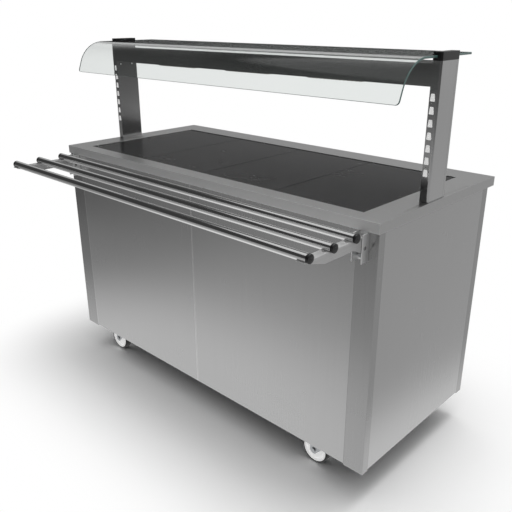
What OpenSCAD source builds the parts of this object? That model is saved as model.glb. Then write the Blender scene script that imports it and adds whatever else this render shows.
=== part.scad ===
// Heated servery counter on castors: hot-plate worktop, heated gantry with a curved glass,
// a fold-down tray slide for the customer and a hot cupboard with sliding doors behind.
// Customers stand at -Y and the operator works at +Y. Z = 0 is the floor.

/* [Worktop] */
// Width of the worktop, side to side
counter_w = 1475; // [1420:5:1700]
// Depth of the worktop, front to back
counter_d = 668; // [640:1:800]
// Height of the worktop above the floor
counter_h = 900; // [850:5:950]
// Depth of the worktop's turned-down edge
edge_h = 30; // [26:1:40]
// Thickness of the worktop's steel
top_sheet = 2; // [1.5:0.5:3]
// Width of the lip returned under the front and side edges
edge_return = 25; // [23:1:40]

/* [Hot plates] */
// Number of ceramic glass plates side by side
tile_count = 4; // [3:1:4]
// Worktop left at each side of the opening that the plates fill
well_side = 87.5; // [72:0.5:120]
// Worktop left in front of the opening
well_margin = 55; // [45:1:70]
// Worktop left behind the opening, over the controls
well_rear = 93; // [86:1:120]
// Thickness of the ceramic glass
tile_t = 6; // [4:0.5:8]
// How far the glass lies below the worktop
tile_drop = 2.5; // [1:0.5:4]
// Width of the silicone joint round each plate
seal_w = 2; // [1:0.5:4]
// Width of the ledge that the plates rest on
ledge_w = 12; // [8:1:16]
// Depth of the tray under the plates
pan_h = 45; // [35:1:60]

/* [Cabinet] */
// How far the worktop overhangs each side of the body
side_overhang = 2.5; // [1:0.5:8]
// How far the worktop overhangs the body's front
front_overhang = 5.5; // [3:0.5:12]
// How far the worktop overhangs the body's rear, over the controls
rear_overhang = 38; // [30:1:50]
// Height of the corner posts' lower ends above the floor
skirt_z = 110; // [106:1:125]
// How much higher the panels end than the posts
panel_lift = 5; // [0:1:15]
// Thickness of the outer panels
panel_t = 1.2; // [0.8:0.1:2]
// Depth of the returns folded round each panel
panel_return = 20; // [16:1:21]
// Thickness of the corner posts
post_t = 2; // [1.5:0.5:3]
// Width of a front corner post across the front
front_post_face = 70; // [64:1:90]
// Width of a front corner post along the side
front_post_side = 28; // [24:1:50]
// Width of a rear corner post across the rear
rear_post_face = 40; // [36:1:60]
// Width of a rear corner post along the side
rear_post_side = 33; // [24:1:50]
// Gap between the two front panels
panel_gap = 1; // [0.5:0.5:3]
// Height of the base frame's channels
frame_h = 40; // [30:1:50]
// Thickness of the base frame's steel
frame_t = 2.5; // [2:0.5:4]
// Depth from an outer panel's face to the cupboard's lining
wall_gap = 40; // [36:1:60]
// Thickness of the cupboard's lining
liner_t = 1.2; // [0.8:0.1:2]

/* [Hot cupboard] */
// Height of the control panel above the doors
fascia_h = 78; // [60:1:100]
// Height of the shelf's top above the floor
shelf_z = 475; // [400:5:600]
// Thickness of the shelf
shelf_t = 1.5; // [1:0.5:3]
// Depth of the shelf's turned-down edges
shelf_edge = 20; // [12:1:30]
// Thickness of a sliding door
door_t = 18; // [14:1:22]
// How far the closed doors overlap
door_overlap = 40; // [20:1:80]
// Width of the full-height finger grip in a door
grip_w = 26; // [20:1:40]
// Depth of the finger grip
grip_depth = 12; // [8:1:13]

/* [Controls] */
// Radius of a thermostat knob
knob_r = 21; // [15:1:24]
// Depth of a thermostat knob
knob_depth = 20; // [12:1:26]
// Width of a rocker switch's key
rocker_w = 12; // [8:1:16]
// Height of a rocker switch's key
rocker_h = 23; // [16:1:28]

/* [Gantry] */
// Height of the gantry posts above the worktop
gantry_h = 378; // [340:1:420]
// Width of a gantry post across the front
gpost_w = 26; // [24:1:36]
// Depth of a gantry post
gpost_d = 98; // [90:1:120]
// Distance of a gantry post from the worktop's end
gpost_inset = 4.5; // [4:0.5:12]
// Distance of the gantry posts' front from the worktop's front
gpost_y = 243; // [200:1:280]
// Radius of a gantry post's outer corners
gpost_r = 6; // [4:0.5:10]
// Height of the plastic caps on the posts
cap_h = 22; // [20:1:30]
// Depth of the canopy's lower edge below the posts' tops
canopy_drop = 66; // [66:1:88]
// Height of the canopy's front
canopy_h = 60; // [56:1:66]
// Thickness of the canopy's steel
canopy_t = 1.5; // [1:0.5:2.5]

/* [Post slots] */
// Number of height slots up the front of a post
slot_count = 7; // [5:1:8]
// Distance between two slots' centres
slot_pitch = 33.8; // [30:0.1:36]
// Height of the lowest slot's centre above the worktop
slot_z = 82.5; // [60:0.5:100]
// Height of a slot
slot_h = 20; // [14:1:24]
// Width of a slot's foot
slot_foot_w = 14.5; // [12:0.5:15]
// Width of a slot's head
slot_head_w = 11; // [8:0.5:12]

/* [Heat lamps] */
// Number of quartz heat lamps
lamp_count = 3; // [2:1:3]
// Distance between two lamps' centres
lamp_pitch = 368; // [300:1:400]
// Length of a lamp's glass tube
lamp_l = 190; // [150:5:220]
// Radius of a lamp's glass tube
lamp_r = 5.5; // [4:0.5:7]

/* [Gantry glass] */
// Thickness of the glass
glass_t = 6; // [4:0.5:8]
// Height of the glass's upper face above the posts' tops
glass_rise = 13.5; // [10:0.5:16]
// Distance of the glass's rear edge from the worktop's front
glass_rear = 435; // [400:1:460]
// Distance of the start of the bend from the worktop's front
glass_bend_y = 187; // [180:1:220]
// Radius of the bend's upper face
glass_r = 111; // [90:1:120]
// Angle through which the glass bends down
glass_turn = 69.5; // [50:0.5:80]
// Length of the flat part below the bend
glass_drop = 39; // [20:1:60]
// Radius of the glass's lower corners
glass_corner_r = 10; // [4:1:18]

/* [Tray slide] */
// Radius of a rail
rail_r = 12.5; // [11:0.5:14]
// Wall of a rail's tube
rail_wall = 1.5; // [1:0.5:3]
// Distance of the inner rail from the worktop's front
rail_first = 54; // [50:1:70]
// Distance between two rails
rail_pitch = 93; // [80:1:110]
// Number of rails
rail_count = 3; // [2:1:3]
// Depth of the rails' centres below the worktop
rail_drop = 33; // [30:0.5:36]
// Distance of the rails' ends from the worktop's ends
rail_inset = 26.5; // [22:0.5:31]
// Depth of the arms' top below the worktop
arm_drop = 40; // [38:0.5:44]
// Height of an arm's side
arm_h = 25; // [22:1:27]
// Width of an arm
arm_w = 27; // [22:1:34]
// Thickness of the arms' steel
arm_t = 2; // [1.5:0.5:3]
// Distance of a bracket's outer face from the worktop's end
bracket_inset = 31.5; // [31:0.5:36]
// Thickness of the brackets' steel
bracket_t = 2.5; // [2:0.5:4]
// How far the brackets stand out from the body
bracket_d = 32; // [31:1:36]
// Height of the brackets
bracket_h = 80; // [72:1:100]
// Distance of the pivot from the body's front
pivot_out = 19.5; // [18.5:0.5:21]
// Depth of the pivot below the worktop
pivot_drop = 70; // [68:0.5:74]
// Radius of the pivot pins
pivot_r = 4; // [3.5:0.5:5]

/* [Castors] */
// Radius of a wheel
wheel_r = 50; // [46:1:52]
// Width of a wheel
wheel_w = 32; // [26:1:36]
// Radius of the pale wheel centre
hub_r = 41; // [34:1:43]
// Height from the floor to the top of a castor's plate
castor_h = 128; // [126:1:135]
// Distance of a castor's swivel from the worktop's end
castor_inset_x = 184.5; // [150:0.5:240]
// Distance of a castor's swivel from the body's front or rear
castor_inset_y = 73.5; // [70:0.5:110]
// How far the wheel trails behind the swivel
trail = 42; // [34:1:44]
// Thickness of the fork's steel
fork_t = 3; // [2:0.5:4]
// Radius of the wheel's axle
axle_r = 6; // [5:0.5:8]

/* [Hidden] */
$fn = 48;

// Facets of small screws and pins
small_fn = 24;
// Steps of the glass's bend
bend_steps = 20;
// Overrun of every cut past the face it opens
cut = 1;
// Radial clearance of a pin that turns or slides in its hole
running_gap = 0.05;
// Clearance of a piece that is set into another one and stays there
seat_gap = 0.3;
// Clearance of a bolt or a bush in its hole
bolt_gap = 0.25;
// Radius of a hexagon head or nut, as a multiple of its bolt's radius
hex_ratio = 1.9;

// Colours
steel = [0.66, 0.67, 0.68];
bright_steel = [0.8, 0.81, 0.82];
dark_steel = [0.3, 0.31, 0.33];
dark_canopy = [0.27, 0.28, 0.29];
liner_steel = [0.6, 0.61, 0.62];
bright_metal = [0.82, 0.8, 0.76];
zinc = [0.62, 0.64, 0.66];
fork_grey = [0.55, 0.57, 0.59];
hot_glass = [0.12, 0.12, 0.13];
clear_glass = [0.85, 0.9, 0.88, 0.35];
quartz = [0.9, 0.88, 0.82];
silicone = [0.06, 0.06, 0.06];
rubber = [0.07, 0.07, 0.07];
heater_mat = [0.45, 0.38, 0.3];
element_metal = [0.35, 0.33, 0.32];
wool = [0.75, 0.7, 0.5];
black_plastic = [0.05, 0.05, 0.06];
white_plastic = [0.93, 0.93, 0.92];
hub_plastic = [0.82, 0.83, 0.84];
nylon = [0.9, 0.89, 0.85];
amber = [0.95, 0.45, 0.08];
pedal_red = [0.6, 0.08, 0.07];

// Places that all sections share
arm_tip_over = 15;
tray_reach = rail_first + (rail_count - 1) * rail_pitch + arm_tip_over;
front_y = (tray_reach - counter_d) / 2;
rear_y = front_y + counter_d;
body_x = counter_w / 2 - side_overhang;
body_front = front_y + front_overhang;
body_rear = rear_y - rear_overhang;
body_top = counter_h - edge_h;
panel_z = skirt_z + panel_lift;
rear_return = rear_overhang + edge_return;

// Hot plates
well_x = counter_w / 2 - well_side;
well_y0 = front_y + well_margin;
well_y1 = rear_y - well_rear;
ledge_z = counter_h - tile_drop - tile_t;
tile_w = (2 * well_x - (tile_count + 1) * seal_w) / tile_count;
tile_step = tile_w + seal_w;
seal_drop = 0.5;
pan_inset = ledge_w / 2;
pan_t = 1.2;
pan_z = ledge_z - top_sheet - pan_h;
pan_wool_t = 24;
bar_w = 20;
bar_t = 3;
mat_margin = 18;
mat_t = 3;

// Frame and castor places
frame_z = castor_h;
frame_top = frame_z + frame_h;
cross_w = 120;
castor_x = counter_w / 2 - castor_inset_x;
castor_y_front = body_front + castor_inset_y;
castor_y_rear = body_rear - castor_inset_y;

// Cupboard
floor_top = frame_top + liner_t;
ceiling_z = body_top - fascia_h;
liner_x = body_x - wall_gap;
liner_y = body_front + wall_gap;
rear_open_x = body_x - rear_post_face;
wool_t = 18;
wool_top_t = 40;
wool_end_gap = 3;
wool_gear_gap = 12;

// Sliding doors: two grooves, each a door and its play wide, between three ribs
rib_t = 1.5;
rib_up = 9;
rib_down = 14;
track_t = 1.5;
door_play = 1;
groove_w = door_t + 2 * door_play;
track_y = body_rear - 3 * rib_t - 2 * groove_w;
door_lift = 1;
door_end_gap = 2;
door_z0 = floor_top + track_t + door_lift;
door_z1 = ceiling_z - track_t - door_lift;
door_w = rear_open_x - door_end_gap + door_overlap / 2;
door_y_out = body_rear - rib_t - door_play - door_t;
door_y_in = door_y_out - rib_t - groove_w;
door_sheet = 1;
door_lip = 40;
grip_inset = 30;
grip_end = 24;
skid_inset = 80;
skid_l = 40;
skid_t = 0.7;

// Shelf and heater
shelf_gap = 3;
runner_w = 24;
runner_t = 1.5;
shelf_x = liner_x - liner_t - shelf_gap;
shelf_y0 = liner_y + liner_t + shelf_gap;
shelf_y1 = track_y - shelf_gap;
runner_y0 = shelf_y0 + 2 * shelf_t;
runner_y1 = shelf_y1 - 2 * shelf_t;
element_r = 4;
element_up = 24;
element_z = floor_top + element_up;
element_bend = 34;
element_y = (liner_y + track_y) / 2;
terminal = [46, 92, 38];
saddle_t = 6;
saddle_w = 20;
saddle_spread = 0.8;
cover_t = 1.2;
cover_h = 56;
cover_inset = 225;
cover_end = liner_x - cover_inset;
element_inset = 70;
element_x = cover_end - element_inset;
cover_side = 66;
vent_w = 7;
vent_l = 84;
vent_count = 16;

// Controls
control_z = body_top - fascia_h / 2;
knob_inset = [265, 165];
rocker_inset = [425, 365];
lamp_inset = [320, 215];
knob_x = [for (a = knob_inset) rear_open_x - a];
rocker_x = [for (a = rocker_inset) rear_open_x - a];
lamp_x = [for (a = lamp_inset) rear_open_x - a];
bush_r = 4.8;
bush_out = 3;
shaft_r = 3;
shaft_l = 12;
gear_body = [38, 24, 44];
knob_gap = 0.8;
knob_skirt_out = 2;
knob_skirt_r = knob_r + knob_skirt_out;
knob_skirt_h = 3;
pointer_w = 3;
pointer_h = 1.5;
rocker_play = 0.6;
rocker_swing = 7;
rocker_crown = 5.5;
rocker_end = 3;
rocker_back = 4;
rocker_pin_r = 1.5;
rocker_pin_l = rocker_play + 1;
rocker_pin_y = -1;
housing_wall = 1.5;
housing_x = rocker_w / 2 + rocker_play + housing_wall;
housing_z = rocker_h / 2 + rocker_play + housing_wall;
housing_d = 16;
bezel_lap = 2;
bezel_t = 2;
lens_r = 5;
lens_h = 3.5;
lens_rim_r = 7;
lens_rim_t = 2;
lamp_stem_r = 4;
lamp_body_r = 6;
lamp_body_l = 18;

// Gantry posts
gpost_t = 2;
gpost_out = counter_w / 2 - gpost_inset;
gpost_in = gpost_out - gpost_w;
gpost_y0 = front_y + gpost_y;
gpost_y1 = gpost_y0 + gpost_d;
gpost_top = counter_h + gantry_h;
rear_lip = 9;
lap_w = 4;
lap_t = 1.5;
lap_x = gpost_out - 2 * lap_t;
cover_y0 = gpost_y0 + gpost_r;
cover_y1 = gpost_y1 - gpost_r - rear_lip;
slot_in = 10;
slot_x = gpost_in + slot_in;
slot_r = 2.5;
spare_hole_r = 2.8;
spare_hole_down = 77;
spare_hole_z = gpost_top - spare_hole_down;
spare_hole_edge = 21;
spare_hole_gap = 54.6;
liner_tube_t = 1.2;
tube_x0 = gpost_in + gpost_t + seat_gap;
tube_x1 = gpost_out - gpost_r;
plug_l = 12;
foot_t = 3;
foot_bolt_r = 3;
foot_bolt_x = (tube_x0 + tube_x1) / 2;
foot_bolt_y = 34;
backing_t = 4;

// Canopy and lamps
canopy_z0 = gpost_top - canopy_drop;
canopy_z1 = canopy_z0 + canopy_h;
canopy_lip = 9;
canopy_screw_in = 22;
canopy_screw_down = 12;
canopy_screw_y = [gpost_y0 + canopy_screw_in, gpost_y1 - canopy_screw_in];
canopy_screw_z = canopy_z1 - canopy_screw_down;
lamp_y = (gpost_y0 + gpost_y1) / 2;
lamp_up = 15;
lamp_z = canopy_z0 + lamp_up;
reflector_t = 1;
reflector_roof = 34;
reflector_h = 36;
reflector_foot = gpost_d / 2 - canopy_t - seat_gap;
holder_w = 16;
holder_d = 18;
guard_over = 3;
guard_top = 34;
guard_foot = 12;
guard_flange = 42;
guard_depth = 8;
guard_t = 1;
guard_slots = 12;
guard_bar = 5;
guard_slot_y = 26;

// Gantry glass
glass_x = (gpost_in + gpost_out) / 2;
glass_z1 = gpost_top + glass_rise;

// Tray slide
rail_z = counter_h - rail_drop;
rail_x = counter_w / 2 - rail_inset;
rail_cap_t = 9;
rail_plug_l = 18;
rail_plug_gap = 0.2;
arm_side_gap = 0.5;
bracket_gap = 1;
bracket_out = counter_w / 2 - bracket_inset;
bracket_in = bracket_out - 2 * bracket_t - 2 * arm_side_gap - arm_w;
bracket_z1 = body_top - bracket_gap;
arm_out = bracket_out - bracket_t - arm_side_gap;
arm_in = arm_out - arm_w;
pivot_y = body_front - pivot_out;
pivot_z = counter_h - pivot_drop;
pin_head_r = 5.5;
pin_head_t = 1.5;
arm_top = counter_h - arm_drop;
arm_tip_h = 3;
arm_taper_l = 78;
arm_end_gap = 0.5;
lobe_r = 16;
heel_l = 46;
toe_out = 9.6;
toe_drop = 12.8;
arm_hole_r = 4.4;
arm_hole_gap = 6;
arm_hole_out = rail_r + arm_hole_gap;
bracket_bolt_r = 3;
bracket_bolt_up = 12;
bracket_bolt_z = bracket_z1 - bracket_h + bracket_bolt_up;
bracket_bolt_side = 7;
bracket_top_bolt_z = pivot_z + lobe_r;

// Castors
plate_t = 3;
plate_half = [52, 42];
plate_bolt = [40, 30];
castor_bolt_r = 4;
head_r = 27;
head_gap = 0.5;
kingpin_r = 6;
kingpin_head_r = 11;
kingpin_head_t = 2.5;
wheel_headroom = 4;
crown_z = 2 * wheel_r + wheel_headroom;
wheel_side_gap = 2.5;
leg_y = wheel_w / 2 + wheel_side_gap;
leg_tip_r = 14;
leg_toe = 20;
leg_depth = 6;
axle_head_r = 8;
axle_head_t = 4;
boss_r = 12;
boss_over = 2.2;
hub_step = 1;
hub_flange = 3;
hub_dish = 4;
hub_rim_w = 6;
hub_face_r = hub_r - hub_rim_w;
groove_depth = 3;
tyre_edge = 4;
pedal_pin_back = 48;
pedal_pin_up = 40;
pedal_pin = [-trail - pedal_pin_back, wheel_r + pedal_pin_up];
pedal_pin_r = 2.5;
pin_rivet_r = 5;
pin_rivet_t = 1.5;
pedal_hub_r = 5.5;
pedal_side_gap = 0.3;
pedal_t = 4;
pad_l = 26;
shoe_back = 4;
shoe_t = 5;
shoe_drop = 28;
ear_r = 7;
ear_root = 20;

// Cable gland
gland_inset = 95;
gland_x = -rear_open_x + gland_inset;
gland_z = (panel_z + floor_top) / 2;
gland_r = 10;
gland_bore_r = 4.5;
gland_nut_r = 14;
gland_nut_t = 5;
gland_inside = 16;
gland_dome_r = 11;
gland_dome_l = 14;

// Bolts and screws
nut_t = 5;
head_t = 4;
screw_r = 2;
screw_head_r = 4;
screw_head_t = 1.6;

// A box between two opposite corners
module block(from, to) { translate(from) cube(to - from); }

// Round bars along each axis, from one place to another
module bar_x(x0, x1, y, z, r) { translate([x0, y, z]) rotate([0, 90, 0]) cylinder(h = x1 - x0, r = r); }
module bar_y(y0, y1, x, z, r) { translate([x, y0, z]) rotate([-90, 0, 0]) cylinder(h = y1 - y0, r = r); }
module bar_z(z0, z1, x, y, r) { translate([x, y, z0]) cylinder(h = z1 - z0, r = r); }

// The same piece at the right and, mirrored, at the left
module both_sides() {
    children();
    mirror([1, 0, 0]) children();
}

// A plain plate in plan, for extrusion
module rect(from, to) { translate(from) square(to - from); }

// A box with walls of thickness t, without the walls on the sides that point along open
function positive(v) = [for (a = v) max(a, 0)];
module shell(from, to, t, open) {
    wall = [t, t, t];
    difference() {
        block(from, to);
        block(from + wall - (t + cut) * positive(-open), to - wall + (t + cut) * positive(open));
    }
}

// A profile drawn in (Y, Z) and drawn out along X, and one drawn in (X, Z) and drawn out along Y
module along_x(x0, x1) { translate([x0, 0, 0]) rotate([90, 0, 90]) linear_extrude(x1 - x0) children(); }
module along_y(y0, y1) { translate([0, y1, 0]) rotate([90, 0, 0]) linear_extrude(y1 - y0) children(); }

// Folded sheet with lips under its edges and a stepped opening for the plates
module worktop() {
    half = counter_w / 2;
    color(steel) difference() {
        union() {
            difference() {
                block([-half, front_y, body_top], [half, rear_y, counter_h]);
                block([-half + top_sheet, front_y + top_sheet, body_top + top_sheet],
                    [half - top_sheet, rear_y - top_sheet, counter_h - top_sheet]);
                block([-half + edge_return, front_y + edge_return, body_top - cut],
                    [half - edge_return, rear_y - rear_return, body_top + top_sheet + cut]);
            }
            block([-well_x - top_sheet, well_y0 - top_sheet, ledge_z - top_sheet],
                [well_x + top_sheet, well_y1 + top_sheet, counter_h]);
        }
        block([-well_x, well_y0, ledge_z], [well_x, well_y1, counter_h + cut]);
        block([-well_x + ledge_w, well_y0 + ledge_w, ledge_z - top_sheet - cut],
            [well_x - ledge_w, well_y1 - ledge_w, ledge_z + cut]);
        both_sides() foot_bolt_places() bar_z(-foot_t - top_sheet - cut, cut, 0, 0, foot_bolt_r + bolt_gap);
    }
}

// The places of the two bolts in the foot of a right-hand gantry post, at the foot plate's top
module foot_bolt_places() {
    for (y = [lamp_y - foot_bolt_y, lamp_y + foot_bolt_y])
        translate([foot_bolt_x, y, counter_h + foot_t]) children();
}

// One plate of ceramic glass, grown all round by more
module tile_blank(i, more, z0, z1) {
    x = -well_x + seal_w + i * tile_step;
    block([x - more, well_y0 + seal_w - more, z0], [x + tile_w + more, well_y1 - seal_w + more, z1]);
}

module hot_tiles() {
    color(hot_glass) for (i = [0 : tile_count - 1]) tile_blank(i, 0, ledge_z, ledge_z + tile_t);
}

// Silicone between and round the plates, a little below their faces
module tile_seal() {
    color(silicone) difference() {
        block([-well_x, well_y0, ledge_z], [well_x, well_y1, ledge_z + tile_t - seal_drop]);
        for (i = [0 : tile_count - 1]) tile_blank(i, 0, ledge_z - cut, ledge_z + tile_t);
    }
}

// Tray under the plates with a bearing bar below each joint between two plates
module hot_top_tray() {
    color(liner_steel) {
        shell([-well_x + pan_inset, well_y0 + pan_inset, pan_z],
            [well_x - pan_inset, well_y1 - pan_inset, ledge_z - top_sheet], pan_t, [0, 0, 1]);
        for (i = [1 : tile_count - 1]) translate([-well_x + seal_w / 2 + i * tile_step, 0, 0]) {
            block([-bar_w / 2, well_y0 + ledge_w, ledge_z - bar_t], [bar_w / 2, well_y1 - ledge_w, ledge_z]);
            block([-bar_t / 2, well_y0 + ledge_w, pan_z + pan_t / 2], [bar_t / 2, well_y1 - ledge_w, ledge_z - bar_t / 2]);
        }
    }
}

module tile_heaters() {
    color(heater_mat) for (i = [0 : tile_count - 1]) tile_blank(i, -mat_margin, ledge_z - mat_t, ledge_z);
}

// Mineral wool in the tray's bays, over the cupboard and behind its lining
module insulation() {
    wool_z = ceiling_z + liner_t;
    wool_front = liner_y - liner_t - wool_t;
    color(wool) {
        for (i = [0 : tile_count - 1])
            tile_blank(i, -mat_margin, pan_z + pan_t, pan_z + pan_t + pan_wool_t);
        block([-liner_x, liner_y, wool_z], [liner_x, body_rear - panel_return - wool_gear_gap, wool_z + wool_top_t]);
        block([-liner_x, wool_front, floor_top], [liner_x, liner_y - liner_t, wool_z]);
        both_sides() block([liner_x + liner_t, liner_y, floor_top],
            [liner_x + liner_t + wool_t, body_rear - rear_post_side - wool_end_gap, wool_z]);
    }
}

module front_panel(x0, x1) {
    color(steel) shell([x0, body_front, panel_z], [x1, body_front + panel_return, body_top], panel_t, [0, 1, 0]);
}
module front_panel_left() { front_panel(-body_x + front_post_face, -panel_gap / 2); }
module front_panel_right() { front_panel(panel_gap / 2, body_x - front_post_face); }

module side_panel_right() {
    color(steel) shell([body_x - panel_return, body_front + front_post_side, panel_z],
        [body_x, body_rear - rear_post_side, body_top], panel_t, [-1, 0, 0]);
}
module side_panel_left() { mirror([1, 0, 0]) side_panel_right(); }

// Angles with inward returns, which the panels butt against
module front_corner_posts() {
    color(steel) both_sides() difference() {
        translate([0, 0, skirt_z]) linear_extrude(body_top - skirt_z) {
            rect([body_x - front_post_face, body_front], [body_x, body_front + post_t]);
            rect([body_x - post_t, body_front], [body_x, body_front + front_post_side]);
            rect([body_x - front_post_face, body_front],
                [body_x - front_post_face + post_t, body_front + panel_return]);
            rect([body_x - panel_return, body_front + front_post_side - post_t],
                [body_x, body_front + front_post_side]);
        }
        bracket_bolt_places() bar_y(-cut, bracket_t + post_t + cut, 0, 0, bracket_bolt_r + bolt_gap);
    }
}

module rear_corner_posts() {
    color(steel) both_sides() translate([0, 0, skirt_z]) linear_extrude(body_top - skirt_z) {
        rect([body_x - rear_post_face, body_rear - post_t], [body_x, body_rear]);
        rect([body_x - post_t, body_rear - rear_post_side], [body_x, body_rear]);
        rect([body_x - rear_post_face, body_rear - panel_return],
            [body_x - rear_post_face + post_t, body_rear]);
        rect([body_x - panel_return, body_rear - rear_post_side],
            [body_x, body_rear - rear_post_side + post_t]);
    }
}

// Channel round the floor with two cross members that carry the castors
module base_frame() {
    x = body_x - panel_return;
    y0 = body_front + panel_return;
    y1 = body_rear - panel_return;
    color(dark_steel) difference() {
        union() {
            difference() {
                block([-x, y0, frame_z], [x, y1, frame_top]);
                block([-x + frame_h, y0 + frame_h, frame_z - cut], [x - frame_h, y1 - frame_h, frame_top + cut]);
                block([-x + frame_t, y0 + frame_t, frame_z + frame_t], [x - frame_t, y1 - frame_t, frame_top - frame_t]);
            }
            both_sides() shell([castor_x - cross_w / 2, y0 + frame_t, frame_z],
                [castor_x + cross_w / 2, y1 - frame_t, frame_top], frame_t, [0, 0, 1]);
        }
        both_sides() for (y = [castor_y_front, castor_y_rear]) translate([castor_x, y, frame_z])
            plate_bolt_places() bar_z(-cut, frame_t + cut, 0, 0, castor_bolt_r + bolt_gap);
        bar_y(y1 - frame_t - cut, y1 + cut, gland_x, gland_z, gland_r);
    }
}

// The four bolts of a castor's plate, round its centre
module plate_bolt_places() {
    for (x = [-plate_bolt[0], plate_bolt[0]], y = [-plate_bolt[1], plate_bolt[1]]) translate([x, y, 0]) children();
}

module cupboard_floor() {
    color(liner_steel) block([-body_x + panel_return, body_front + panel_return, frame_top],
        [body_x - panel_return, body_rear - panel_return, floor_top]);
}

module cupboard_ceiling() {
    color(liner_steel) block([-liner_x, liner_y, ceiling_z], [liner_x, body_rear - panel_return, ceiling_z + liner_t]);
}

module liner_front() {
    color(liner_steel) block([-liner_x - liner_t, liner_y - liner_t, floor_top],
        [liner_x + liner_t, liner_y, ceiling_z + liner_t]);
}

// Side linings with the angles that the shelf lies on
module liner_sides() {
    color(liner_steel) both_sides() {
        block([liner_x, liner_y, floor_top], [liner_x + liner_t, body_rear - panel_return, ceiling_z + liner_t]);
        block([liner_x - runner_w, runner_y0, shelf_z - shelf_t - runner_t], [liner_x, runner_y1, shelf_z - shelf_t]);
        block([liner_x - runner_t, runner_y0, shelf_z - shelf_t - runner_w],
            [liner_x, runner_y1, shelf_z - shelf_t - runner_t]);
    }
}

// Shelf with its front and rear edges turned down
module mid_shelf() {
    color(liner_steel) {
        block([-shelf_x, shelf_y0, shelf_z - shelf_t], [shelf_x, shelf_y1, shelf_z]);
        for (y = [shelf_y0, shelf_y1 - shelf_t])
            block([-shelf_x, y, shelf_z - shelf_edge], [shelf_x, y + shelf_t, shelf_z]);
    }
}

// Hairpin element on saddles with its terminal box
module floor_heater() {
    color(element_metal) {
        for (y = [element_y - element_bend, element_y + element_bend])
            bar_x(-element_x, element_x + element_r, y, element_z, element_r);
        bar_y(element_y - element_bend, element_y + element_bend, -element_x, element_z, element_r);
        for (x = [-element_x, 0, element_x - saddle_t] * saddle_spread)
            difference() {
                block([x - saddle_t / 2, element_y - element_bend - saddle_w / 2, floor_top],
                    [x + saddle_t / 2, element_y + element_bend + saddle_w / 2, element_z]);
                for (y = [element_y - element_bend, element_y + element_bend])
                    bar_x(x - saddle_t, x + saddle_t, y, element_z, element_r + running_gap);
                block([x - saddle_t, element_y - element_bend + saddle_w / 2, floor_top + saddle_t],
                    [x + saddle_t, element_y + element_bend - saddle_w / 2, element_z + cut]);
            }
        block([element_x, element_y - terminal[1] / 2, floor_top],
            [element_x + terminal[0], element_y + terminal[1] / 2, floor_top + terminal[2]]);
    }
}

// Slotted guard over the element
module heater_cover() {
    step = 2 * (cover_end - vent_w * 2) / vent_count;
    color(liner_steel) difference() {
        shell([-cover_end, element_y - cover_side, floor_top],
            [cover_end, element_y + cover_side, floor_top + cover_h], cover_t, [0, 0, -1]);
        for (i = [0 : vent_count - 1]) translate([(i - (vent_count - 1) / 2) * step, element_y, 0])
            block([-vent_w / 2, -vent_l / 2, floor_top + cover_h - cover_t - cut],
                [vent_w / 2, vent_l / 2, floor_top + cover_h + cut]);
    }
}

// Control panel under the worktop's rear edge, with the openings of its controls
module rear_fascia() {
    color(steel) difference() {
        shell([-rear_open_x, body_rear - panel_return, ceiling_z],
            [rear_open_x, body_rear, body_top], panel_t, [0, -1, 0]);
        for (x = knob_x) bar_y(body_rear - panel_t - cut, body_rear + cut, x, control_z, bush_r + bolt_gap);
        for (x = lamp_x) bar_y(body_rear - panel_t - cut, body_rear + cut, x, control_z, lamp_stem_r + bolt_gap);
        for (x = rocker_x) translate([x, body_rear, control_z])
            block([-housing_x - bolt_gap, -panel_t - cut, -housing_z - bolt_gap],
                [housing_x + bolt_gap, cut, housing_z + bolt_gap]);
    }
}

module rear_plinth() {
    color(steel) difference() {
        shell([-rear_open_x, body_rear - panel_return, panel_z],
            [rear_open_x, body_rear, floor_top], panel_t, [0, -1, 0]);
        bar_y(body_rear - panel_t - cut, body_rear + cut, gland_x, gland_z, gland_r + bolt_gap);
    }
}

// Three ribs below and three above, with a groove for each door between them
module door_tracks() {
    color(liner_steel) along_x(-rear_open_x, rear_open_x) {
        rect([track_y, floor_top], [body_rear, floor_top + track_t]);
        rect([track_y, ceiling_z - track_t], [body_rear, ceiling_z]);
        for (i = [0 : 2]) {
            y = track_y + i * (rib_t + groove_w);
            rect([y, floor_top], [y + rib_t, floor_top + track_t + rib_up]);
            rect([y, ceiling_z - track_t - rib_down], [y + rib_t, ceiling_z]);
        }
    }
}

// Folded sheet with lips, a finger grip down its outer end and two nylon skids.
// The door runs from x0 to the right; side is -1 with the grip at its left end, 1 at its right
module door(x0, y0, side) {
    x1 = x0 + door_w;
    face = y0 + door_t;
    grip_x = side < 0 ? x0 + grip_inset : x1 - grip_inset - grip_w;
    color(steel) difference() {
        union() {
            shell([x0, y0, door_z0], [x1, face, door_z1], door_sheet, [0, 0, 0]);
            block([grip_x - door_sheet, face - grip_depth - door_sheet, door_z0 + grip_end],
                [grip_x + grip_w + door_sheet, face, door_z1 - grip_end]);
        }
        block([x0 + door_lip, y0 - cut, door_z0 + door_lip], [x1 - door_lip, y0 + door_sheet + cut, door_z1 - door_lip]);
        block([grip_x, face - grip_depth, door_z0 + grip_end + door_sheet],
            [grip_x + grip_w, face + cut, door_z1 - grip_end - door_sheet]);
    }
    color(nylon) for (x = [x0 + skid_inset, x1 - skid_inset - skid_l])
        block([x, y0 + door_sheet, door_z0 - skid_t], [x + skid_l, face - door_sheet, door_z0]);
}
module door_left() { door(-rear_open_x + door_end_gap, door_y_out, -1); }
module door_right() { door(rear_open_x - door_end_gap - door_w, door_y_in, 1); }

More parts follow.
